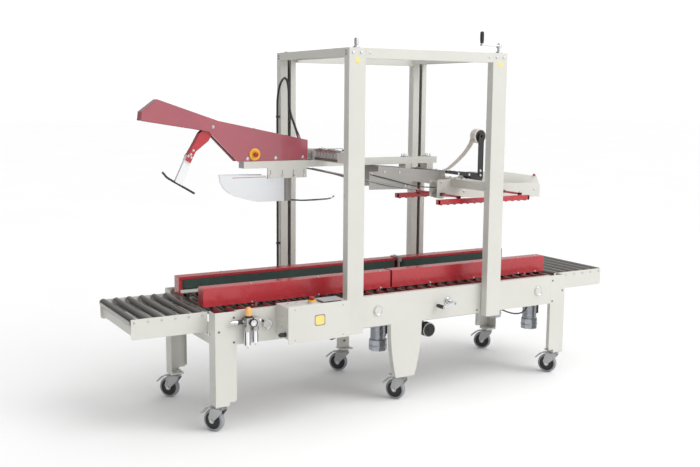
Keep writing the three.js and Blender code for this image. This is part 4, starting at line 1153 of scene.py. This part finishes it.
def lower_tape_head():
    """Tape head under the bed, and its roll hub."""
    piece = Piece("lower_tape_head_unit").add(CREAM, sheet_metal("lower_tape_head", 1))
    hub_x, hub_z = LOWER_HUB
    for y in (-1, 1):
        for x, z in ((280, 545), (540, 545), (400, 600), (470, 560)):
            piece.bolt((x, y * 40, z), (0, y, 0), 7)
    for x, r in ((330, 17), (460, 20), (556, 16)):
        piece.add(BLACK_PLASTIC, tape_roller(x, 590, r))
    piece.add(BRIGHT, rod((hub_x, 29.5, hub_z), (hub_x, 44, hub_z), 8),
              rod((hub_x, 29.2, hub_z), (hub_x, 35, hub_z), 14, 1))
    finish_node(piece, "frame", "lower_tape_head")
    # The roll under the bed is drawn as a black disc: its darkness is painted shade from the bed above it.
    reel = Piece("lower_tape_reel")
    reel.add(BLACK_PLASTIC, turned((hub_x, -22, hub_z), (hub_x, 28.6, hub_z), [
        (0, 0), (0, 12), (3, 13), (3, 36), (1, 38), (1, 43), (4, 44), (8, 44), (10, 40), (38, 40), (40, 44),
        (45, 44), (48, 42), (48, 20), (50.6, 19), (50.6, 0)], 44))
    reel.add(SHEET_STEEL, hoop((hub_x, -22.4, hub_z), (hub_x, -19, hub_z),
                               [(0, 39), (0, 42.6), (1, 43.6), (3, 43.6), (3, 39)], 44))
    reel.add(SHEET_STEEL, rod((hub_x, -21, hub_z), (hub_x, -17.6, hub_z), 11, 1))
    hub_windows(reel, (hub_x, hub_z), 6, (-19.6, -18), 0.6, 30)
    finish_node(reel, "lower_reel", "lower_tape_hub")


lower_tape_head()

# ------------------------------------------------------------------ folder
# Half the housing's width, the kicker's pivot, the stop button and the bend of the nose plate.
HEAD = 31
PIVOT = (-1006, 1517)
FOLDER_STOP = (-772, 1371)
CURVE = (-602, 36)
CURVE_R = 72


def folder_housing():
    """Red housing of the folder arm, its stop button and the hose fittings on top."""
    piece = Piece("folder_housing_covers").add(HOUSING_RED_PAINTED_SHEEN, sheet_metal("folder_housing", 1.4))
    lap = [(-1383, 1551.5), (-1377.5, 1592.5), (-1296, 1653), (-1012, 1558), (-985, 1534), (-984, 1512),
           (-1000, 1498), (-1030, 1494), (-1077, 1503.5)]
    for s in (-1, 1):
        out = (0, s, 0)
        # The upper arm's cover laps over the housing as far as the pivot.
        piece.add(HOUSING_RED_PAINTED_SHEEN, plate(lap, "xz", sorted((s * (HEAD - 0.5), s * (HEAD + 1.8))), 0.8))
        piece.bolt((PIVOT[0], s * (HEAD + 1.8), PIVOT[1]), out, 8, ZINC)
        for x, z in ((-812, 1349), (-649, 1350), (-487, 1352)):
            piece.bolt((x, s * HEAD, z), out, 8, kind="pan")
        # Folded flange under the slanted edge.
        piece.add(HOUSING_RED_PAINTED_SHEEN, plate([(-1026, 1490), (-869, 1337), (-866, 1340), (-1023, 1493)], "xz",
                             sorted((s * 28.5, s * 18)), 0.4))
    for x, z, a in ((-1130, 1597, 0.32), (-760, 1504, 0.2)):
        piece.bolt((x, 0, z), (a * 0.9, 0, 0.95), 6, kind="pan")
    bx, bz = FOLDER_STOP
    piece.add(COLLAR, turned((bx, -HEAD, bz), (bx, -38.4, bz), [
        (0, 31.8), (1, 32.2), (4, 32.2), (6, 30.4), (7.4, 27), (7.4, 20), (6.4, 18), (6.4, 10.6), (2, 10.6),
        (2, 0)], 48))
    # Hose fittings on the sloping top.
    gland = [Vector((-498, -12, 1446)), Vector((-498, -3, 1457.6)), Vector((-498, 4, 1467))]
    piece.add(SCREW_STEEL, rod(gland[0], gland[1], 11, 1, 6))
    piece.add(BLACK_PLASTIC, rod(gland[1], gland[2], 9.4, 1.4))
    for x, y in ((-560, 14), (-580, -14)):
        z = 1443 + (-457 - x) * 0.2016
        piece.add(BLACK_PLASTIC, turned((x, y, z - 1), (x, y, z + 2.4), [(0, 8), (2, 8), (3.2, 6), (3.4, 0)],
                                        24))
    finish_node(piece, "folder", "folder_housing")
    button = Piece("folder_stop_button_head")
    button.add(BUTTON, turned((bx, -32, bz), (bx, -57, bz), [
        (0, 0), (0, 9), (11, 9), (12, 10.6), (14, 12.8), (17, 13.2), (20, 12.6), (23, 9.4), (24.6, 5),
        (25, 0)], 40))
    finish_node(button, "folder_stop", "folder_stop_button")


def kicker():
    """Swinging arm with the paddle that folds the trailing flap."""
    px, pz = PIVOT
    piece = Piece("kicker_arm_assembly")
    web = [(-1018, 1532), (-992, 1528), (-994, 1500), (-1025, 1445), (-1096, 1390), (-1124, 1334),
           (-1152, 1350), (-1112, 1416), (-1073, 1485)]
    for s in (-1, 1):
        piece.add(RED, plate(web, "xz", sorted((s * 17, s * 20)), 0.8))
        for x, z in ((-1108, 1398), (-1122, 1378), (-1119, 1362), (-1136, 1370)):
            piece.bolt((x, s * 20, z), (0, s, 0), 6)
    piece.add(RED, plate([(-1073, 1485), (-1112, 1416), (-1145, 1366), (-1142, 1364), (-1109, 1414),
                          (-1070, 1483)],
                         "xz", (-19.5, 19.5), 0.4))
    piece.add(ZINC, ring((px, -18, pz), (px, 18, pz), 12, 8))
    piece.add(WHITE, plate([(-1141, 1376), (-1110, 1358), (-1168, 1219), (-1206, 1241)], "xz", (-11.6, 11.6),
                           2.4))
    piece.add(BLACK_PLASTIC, pipe([(-1268, 0, 1290), (-1256, 0, 1276), (-1239, 0, 1259), (-1176, 0, 1221),
                                   (-1130, 0, 1194), (-1098, 0, 1175)], 5.6, 14, 6))
    # Push rod from the air cylinder in the housing.
    piece.add(BRIGHT, rod((-1052, 0, 1468), (-1010, 0, 1489), 5),
              rod((-1054, -17, 1467), (-1054, 17, 1467), 5))
    finish_node(piece, "kicker", "kicker_arm")


def folder_carriage():
    """Beam and cross piece that carry the folder, with the air parts behind the housing."""
    piece = Piece("folder_carriage_weldment").add(CREAM, sheet_metal("folder_carriage", 1.4))
    # Open beam end, drawn as a grey plate: painted shade of the hollow inside.
    piece.add(GREY_PANEL, box((-836, -834.4), (-31, 31), (1300, 1331), 0.5))
    # Bracket of the nose plate, on bolts in upright slots; the slots are thin dark strips on its face,
    # painted shade of the openings.
    for x in (-682, -612, -547, -482):
        piece.add(SCREW_STEEL, box((x - 1.6, x + 1.6), (-36.3, -35.8), (1262, 1286), 0.1))
        piece.bolt((x, -36, 1254), (0, -1, 0), 7)
        piece.bolt((x, -26, 1254), (0, 1, 0), 7)
    for x in (190, 205, 340, 358):
        for y in (-22, 22):
            piece.bolt((x, y, 1334), (0, 0, 1), 8)
            piece.add(BRIGHT, rod((x, y, 1338), (x, y, 1352), 3.6, 0.6, 14),
                      rod((x, y, 1266), (x, y, 1300), 4, 0.5, 14))
    piece.bolts((-405, -345), (-24, 24), 1386, (0, 0, 1), 8)
    piece.bolts((-405, -345), (-345, 345), 1386, (0, 0, 1), 7, kind="pan")
    finish_node(piece, "folder", "folder_carriage")
    # Air cylinder, its valve and the loose leads along the beam behind the housing.
    air = Piece("folder_air_cylinder")
    air.add(SHEET_STEEL, box((-452, -428), (-20, 20), (1336, 1374), 2),
            rod((-428, 0, 1356), (-425, 0, 1356), 12))
    air.add(SHEET_STEEL, rod((-326, 0, 1357), (-226, 0, 1357), 17, 1.5))
    air.add(ZINC, box((-330, -314), (-21, 21), (1336, 1377), 2),
            box((-232, -212), (-21, 21), (1336, 1377), 2))
    for y in (-16, 16):
        for z in (1341, 1372):
            air.add(BRIGHT, rod((-330, y, z), (-212, y, z), 2.4, 0.3, 12))
    air.add(BLACK_PLASTIC, rod((-322, 6, 1377), (-322, 6, 1384), 5),
            rod((-222, -6, 1377), (-222, -6, 1384), 5))
    air.add(BRIGHT, rod((-212, 0, 1357), (-176, 0, 1357), 5))
    air.place("folder", slot="regulator_metal")
    lead = Piece("folder_air_tubes")
    for sign, x in ((1, -322), (-1, -222)):
        lead.add(GREY_PANEL, pipe([(x, sign * 6, 1382), (x - 4, sign * 9, 1389), (x - 40, sign * 14, 1391),
                                   (-420, sign * 14, 1390), (-446, sign * 12, 1386), (-462, sign * 10, 1378)],
                                   2.4, 10, 6))
    lead.place("folder", slot="black_hose")
    valves = Piece("folder_valve_island")
    for k in range(7):
        y = -58 - 34 * k
        height = (10, 15, 12)[k % 3]
        valves.add(SHEET_STEEL, box((-424, -392), (y - 26, y), (1352, 1386 + height), 1.6))
        valves.add(GREY_PANEL, box((-427, -423.5), (y - 22, y - 6), (1358, 1380), 1))
        valves.add(ZINC, rod((-408, y - 13, 1385 + height), (-408, y - 13, 1390 + height), 4, 0.6, 12))
    valves.add(SCREW_STEEL, box((-422.5, -419.8), (-296, -46), (1336.5, 1350), 0.6))
    valves.place("folder", slot="regulator_metal")


def press_plate():
    """Curved nose plate: a bent sheet with its sides closed, open on top, with a wire skid behind it."""
    piece = Piece("press_plate_shell").add(NOSE, sheet_metal("press_plate", 0.7))
    # Thin stripe along the top, and the end piece bent round to the back, darkened as a painted reflection of
    # dark surroundings on the curve.
    piece.add(RED, box((-902, -710), (-36.4, -36), (1249.3, 1252.3), 0.1))
    outer, inner = (arc(CURVE, CURVE_R + grow, -90, -1, 18) for grow in (0.4, -0.4))
    wrap = [*outer, *reversed(inner)]
    piece.add(NOSE_END_PAINTED_DARK, plate(wrap, "xy", (1117.4, 1240.2), 0))
    piece.bolts((-676, -640), -36, 1228, (0, -1, 0), 4, kind="pan")
    piece.add(BLACK_PLASTIC, pipe([(-600, 0, 1120), (-540, 0, 1117), (-457, 0, 1111), (-340, 0, 1112),
                                   (-309, 0, 1114), (-291, 0, 1119), (-273, 0, 1128)], 4.2, 12, 6))
    finish_node(piece, "folder", "press_plate")


def flap_plow():
    """Two side plates and the wires that open the side flaps and fold them."""
    piece = Piece("flap_plow_plates")
    plate_line = [(-119, 1265), (-61, 1265), (-61, 1296), (99, 1281), (363, 1256), (379, 1209), (143, 1200),
                  (143, 1160), (-118, 1165)]
    for s in (-1, 1):
        piece.add(PLOW_STEEL, plate(plate_line, "xz", sorted((s * 120, s * 123.4)), 0.8))
        # Folded top edge, and the two guide wires that open the flaps.
        piece.add(PLOW_STEEL, plate([(-61, 1296), (99, 1281), (363, 1256), (363, 1253), (99, 1278),
                                     (-61, 1293)], "xz", sorted((s * 120, s * 86)), 0.5))
        piece.add(SCREW_STEEL, pipe([(-440, s * 48, 1288), (-238, s * 80, 1245), (-110, s * 121, 1212),
                                     (10, s * 140, 1186),
                                (150, s * 172, 1160)], 4.6, 12, 8))
        piece.add(BLACK_PLASTIC, pipe([(-112, s * 126.5, 1250), (0, s * 134, 1222), (170, s * 150, 1178),
                                       (300, s * 168, 1166)],
                                      3, 10, 8))
        for x, z in ((-104, 1250), (-20, 1262), (80, 1256), (340, 1236), (120, 1180)):
            piece.bolt((x, s * 123.4, z), (0, s, 0), 6)
    for x0, x1, z0 in ((180, 211, 1250), (332, 370, 1246)):
        piece.add(PLOW_STEEL, box((x0, x1), (-120.5, 120.5), (z0, 1261.6), 1))
        piece.bolts((x0 + x1) / 2, (-100, 100), 1261.6, (0, 0, 1), 7)
    finish_node(piece, "folder", "flap_plow")


folder_housing()
kicker()
folder_carriage()
press_plate()
flap_plow()

# ------------------------------------------------------------------ tape head
RACK = (280, 950)
TAPE_HUB = (728, 1448)


def tape_carriage():
    """Cross beam that carries the upper tape head."""
    piece = Piece("tape_carriage_weldment").add(CREAM, sheet_metal("tape_carriage_beam", 1.4))
    piece.bolts((518, 570), (-120, -60, 60, 120), 1200, (0, 0, 1), 7)
    finish_node(piece, "tape_head", "tape_carriage_beam")


def tape_head():
    """Upper tape head: side plates, rollers, arms and spring."""
    piece = Piece("tape_head_plates").add(CREAM, sheet_metal("tape_head_frame", 1))
    for x, z in ((430, 1180), (600, 1120), (860, 1100), (1150, 1110)):
        piece.bolt((x, -40, z), (0, -1, 0), 7, kind="pan")
        piece.bolt((x, 40, z), (0, 1, 0), 7, kind="pan")
    for x, z, r, look in ((440, 1104, 21.8, BLACK_PLASTIC), (1100, 1082, 21.8, BLACK_PLASTIC),
                          (520, 1128, 14, BRIGHT), (688, 1150, 12, BRIGHT), (980, 1120, 14, BRIGHT)):
        piece.add(look, tape_roller(x, z, r))
        piece.add(BRIGHT, rod((x, -36, z), (x, 36, z), 5))
    # Swing arms, blade cover and return spring between the plates.
    for y in (-26, 26):
        piece.add(SHEET_STEEL, plate([(436, 1110), (470, 1122), (690, 1158), (690, 1142), (480, 1096),
                                      (440, 1092)], "xz",
                                     (y - 2, y + 2), 0.8))
        piece.add(SHEET_STEEL, plate([(1104, 1092), (980, 1128), (760, 1150), (760, 1136), (960, 1106),
                                      (1096, 1074)], "xz",
                                     (y - 2, y + 2), 0.8))
    piece.add(SHEET_STEEL, box((770, 900), (-22, 22), (1118, 1128), 1))
    spring = [(620 + 1.6 * k, -12 + 6 * math.cos(k * 1.3), 1176 + 6 * math.sin(k * 1.3)) for k in range(70)]
    piece.add(BRIGHT, pipe(spring, 0.9, 6, 2))
    piece.add(RED, rod((1206, 22, 1194), (1206, 34, 1194), 8, 1.6))
    finish_node(piece, "tape_head", "tape_head_frame")


def tape_bracket():
    """Post with the tape roll, the arm over the head and its guide rollers."""
    piece = Piece("tape_roll_bracket_assembly")
    post = [(706, 1190), (746, 1190), (746, 1440), (736, 1466), (716, 1466), (706, 1440)]
    piece.add(BLACK, plate(post, "xz", (-34, -29), 1.2))
    piece.add(BLACK, plate([(740, 1192), (746, 1192), (746, 1438), (741, 1438)], "xz", (-34, -12), 1))
    piece.add(BLACK, plate([(471, 1232), (471, 1250), (720, 1224), (720, 1196)], "xz", (-34, -26), 1.2))
    piece.add(BLACK, box((650, 740), (-35.6, 35.6), (1168, 1211), 2))
    piece.add(BLACK, box((690, 716), (-22, 24), (1210.5, 1226), 2))
    for x, z in ((560, 1227), (640, 1219), (724, 1212), (724, 1240)):
        piece.bolt((x, -34, z), (0, -1, 0), 7)
    for x in (478, 540, 604):
        z = 1240 - (x - 478) * 0.09
        piece.add(BRIGHT, turned((x, -27, z), (x, 28, z), [(0, 0), (0, 11), (2, 11.6), (4, 9), (51, 9),
                (53, 11.6), (55, 11), (55, 0)], 28))
    piece.add(BRIGHT, rod((TAPE_HUB[0], -34, TAPE_HUB[1]), (TAPE_HUB[0], -25, TAPE_HUB[1]), 8))
    finish_node(piece, "tape_head", "tape_roll_bracket")

    x, z = TAPE_HUB
    reel = Piece("tape_reel_roll")
    reel.add(TAPE, ring((x, -22, z), (x, 26, z), 44, 38.5, 0.5, 64))
    reel.add(CORE, ring((x, -22.4, z), (x, 26.4, z), 38.4, 36, 0.3, 64))
    reel.add(BLACK_PLASTIC, turned((x, -24.8, z), (x, 29.8, z), [
        (0, 0), (0, 11), (3, 13), (4, 35.5), (50, 35.6), (50.6, 39), (54, 39), (54.6, 37.6), (54.6, 0)], 48))
    hub_windows(reel, (x, z), 7, (-22, -20.4), 0.8)
    finish_node(reel, "tape_reel", "tape_roll")


def tape_web():
    """The tape from the roll over the guide rollers and down into the head."""
    line = [(686.5, 1435), (676, 1408), (655, 1378), (624, 1344), (584, 1309), (544, 1279), (512, 1259),
            (490, 1251), (478, 1249.6), (468.8, 1244), (468.4, 1236), (474, 1206), (492, 1168), (506, 1140)]
    piece = Piece("tape_web")
    bm = bmesh.new()
    rows = []
    for p in smooth_line([(a, 0, b) for a, b in line], 4):
        rows.append([bm.verts.new(at(p.x, y, p.z)) for y in (-22, -8, 8, 24)])
    for a, b in zip(rows, rows[1:]):
        for i in range(3):
            bm.faces.new((a[i], a[i + 1], b[i + 1], b[i]))
    bmesh.ops.solidify(bm, geom=bm.faces[:], thickness=0.0004)
    piece.add(TAPE, bm)
    piece.place("tape_head", slot="tape")


def press_rack(side):
    """Row of wheels that presses one side of the carton's top."""
    sign = SIDES[side]
    node = f"press_rack_{side}"
    piece = Piece(node + "_assembly")
    y0, y1 = sorted((sign * 230, sign * 202))
    # Channel rail with a row of small wheels in it, on two arms with adjusting handles.
    piece.add(RED, box(RACK, (y0, y1), (1096.5, 1100), 1), box(RACK, (y0, y0 + 3), (1072, 1099), 1),
              box(RACK, (y1 - 3, y1), (1072, 1099), 1))
    for k in range(14):
        x = 306 + k * 47.5
        middle = sign * 216
        piece.add(BLACK_PLASTIC, turned((x, middle - 7, 1077), (x, middle + 7, 1077), [
            (0, 0), (0, 8.4), (1.5, 10), (12.5, 10), (14, 8.4), (14, 0)], 24))
        piece.add(SCREW_STEEL, rod((x, y0 - 0.8, 1080), (x, y1 + 0.8, 1080), 2, 0.4, 12))
    for x in (435, 891):
        piece.add(RED, box((x - 11, x + 11), sorted((sign * 40.4, sign * 216)), (1104, 1115), 1.2))
        piece.add(RED, box((x - 11, x + 11), sorted((sign * 202, sign * 216)), (1090, 1116), 1.2))
        piece.bolt((x, sign * 209, 1115.6), (0, 0, 1), 8)
        piece.add(BLACK_PLASTIC, box((x - 13, x + 13), sorted((sign * 41, sign * 62)), (1101, 1118), 1.6))
    for x in (RACK[0] + 6, RACK[1] - 6):
        piece.add(RED, box((x - 6, x + 6), (y0, y1), (1072, 1099), 1))
    finish_node(piece, "tape_head", node)


tape_carriage()
tape_head()
tape_bracket()
tape_web()
for side in SIDES:
    press_rack(side)

# ------------------------------------------------------------------ air hose
HOSE_R = 6.5
HOSE_X, HOSE_Y = -440, 379
HOSE_ROUTE = [(-498, 5, 1469), (-498, 20, 1487), (-495, 58, 1529), (-488, 112, 1579), (-480, 149, 1640),
              (-474, 165, 1704), (-467, 192, 1752), (-458, 240, 1777), (-449, 299, 1765), (-443, 348, 1725),
              (HOSE_X, 374, 1668), (HOSE_X, HOSE_Y, 1600), (HOSE_X, HOSE_Y, 1300), (HOSE_X, HOSE_Y, 900),
              (HOSE_X, HOSE_Y, 640), (HOSE_X, HOSE_Y, 588)]


def air_hose():
    """Hose from the folder housing down the column, with its relief, elbow and clips."""
    tube = Piece("air_hose_tube").add(HOSE, pipe(HOSE_ROUTE, HOSE_R, 14, 8)).build()
    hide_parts("air_hose")
    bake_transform(tube)
    # Tapered sleeve where the hose leaves the housing's fitting.
    relief = Piece("air_hose_relief")
    start, end = Vector((-498, 3, 1466.6)), Vector((-497.6, 22.4, 1489.6))
    relief.add(BLACK_PLASTIC, turned(start, end, [
        (0, 6.7), (0, 9.6), (3, 9.6), (4, 8.9), (7, 8.9), (8, 8.5), (11, 8.5), (12, 8.1), (15, 8.1),
        (16, 7.8), (20, 7.7), (21, 7.4), (29, 7.2), (30, 6.7)], 24))
    relief.place("folder", slot="black_plastic")
    elbow = Piece("air_hose_elbow")
    elbow.add(BLACK_PLASTIC, rod((HOSE_X, HOSE_Y, 606), (HOSE_X, HOSE_Y, 582), 9.5, 1.5))
    elbow.add(ZINC, pipe([(HOSE_X, HOSE_Y, 584), (HOSE_X, HOSE_Y, 564), (HOSE_X, HOSE_Y - 3, 556),
                          (HOSE_X, HOSE_Y - 9, 553.4), (HOSE_X, 364, 553)], 8, 14, 6))
    elbow.add(ZINC, rod((HOSE_X, 370, 553), (HOSE_X, 363.4, 553), 12, 1, 6))
    elbow.place("frame", slot="regulator_metal")
    clips = Piece("air_hose_clips")
    for z in (1560, 1180, 820):
        clips.add(BLACK_PLASTIC, ring((HOSE_X, HOSE_Y, z - 6), (HOSE_X, HOSE_Y, z + 6), 9, 6.7, 0.8, 24))
        clips.add(BLACK_PLASTIC, box((-433, -424.2), (HOSE_Y - 4, HOSE_Y + 4), (z - 6, z + 6), 0.8))
    clips.place("frame", slot="black_hose")


air_hose()

# ------------------------------------------------------------------ stage and light


def add_lamp(name, kind, place, target, watts, size):
    """A soft lamp aimed at a target; size is metres for an area lamp and an angle for the sun."""
    data = bpy.data.lights.new(name, kind)
    data.energy = watts
    if kind == "AREA":
        data.shape = "RECTANGLE"
        data.size, data.size_y = size
    else:
        data.angle = size
    light = bpy.data.objects.new(name, data)
    light.location = place
    light.rotation_euler = (Vector(target) - Vector(place)).to_track_quat("-Z", "Y").to_euler()
    bpy.context.scene.collection.objects.link(light)


def studio():
    """White sweep: soft light, strongest from the front right, and a clean white behind the machine."""
    mesh = bpy.data.meshes.new("floor")
    bm = bmesh.new()
    bmesh.ops.create_grid(bm, x_segments=1, y_segments=1, size=60)
    bm.to_mesh(mesh)
    bm.free()
    floor = bpy.data.objects.new("floor", mesh)
    n = Nodes("studio_floor")
    n.link(n.ramp(n.noise(0.6, 3), (0.3, (0.965, 0.965, 0.965)), (0.7, (0.98, 0.98, 0.98))),
           n.shader.inputs["Base Color"])
    n.shader.inputs["Roughness"].default_value = 0.9
    n.shader.inputs["Specular IOR Level"].default_value = 0.05
    mesh.materials.append(n.material)
    bpy.context.scene.collection.objects.link(floor)

    world = bpy.data.worlds.new("studio")
    world.use_nodes = True
    tree = world.node_tree
    light = tree.nodes["Background"]
    light.inputs["Color"].default_value = (1, 1, 1, 1)
    facing = tree.nodes.new("ShaderNodeVectorMath")
    facing.operation = "DOT_PRODUCT"
    facing.inputs[1].default_value = Vector((0.62, -0.55, 0.56)).normalized()
    tree.links.new(tree.nodes.new("ShaderNodeTexCoord").outputs["Generated"], facing.inputs[0])
    fade = tree.nodes.new("ShaderNodeMapRange")
    for key, value in zip(RANGE_SOCKETS, (-0.75, 0.75, 0.12, 1.02)):
        fade.inputs[key].default_value = value
    tree.links.new(facing.outputs["Value"], fade.inputs["Value"])
    tree.links.new(fade.outputs["Result"], light.inputs["Strength"])
    backdrop = tree.nodes.new("ShaderNodeBackground")
    backdrop.inputs["Color"].default_value = (1, 1, 1, 1)
    backdrop.inputs["Strength"].default_value = 1.05
    choose = tree.nodes.new("ShaderNodeMixShader")
    tree.links.new(tree.nodes.new("ShaderNodeLightPath").outputs["Is Camera Ray"], choose.inputs["Fac"])
    tree.links.new(light.outputs["Background"], choose.inputs[1])
    tree.links.new(backdrop.outputs["Background"], choose.inputs[2])
    tree.links.new(choose.outputs["Shader"], tree.nodes["World Output"].inputs["Surface"])
    bpy.context.scene.world = world
    bpy.context.scene.view_settings.view_transform = "Standard"

    add_lamp("sun", "SUN", (3, -4, 6), (0, 0, 0), 1.05, math.radians(38))
    add_lamp("key", "AREA", (3.4, -5.4, 3.6), (0.2, 0, 0.9), 60, (3.0, 2.4))


studio()
bpy.context.view_layer.update()
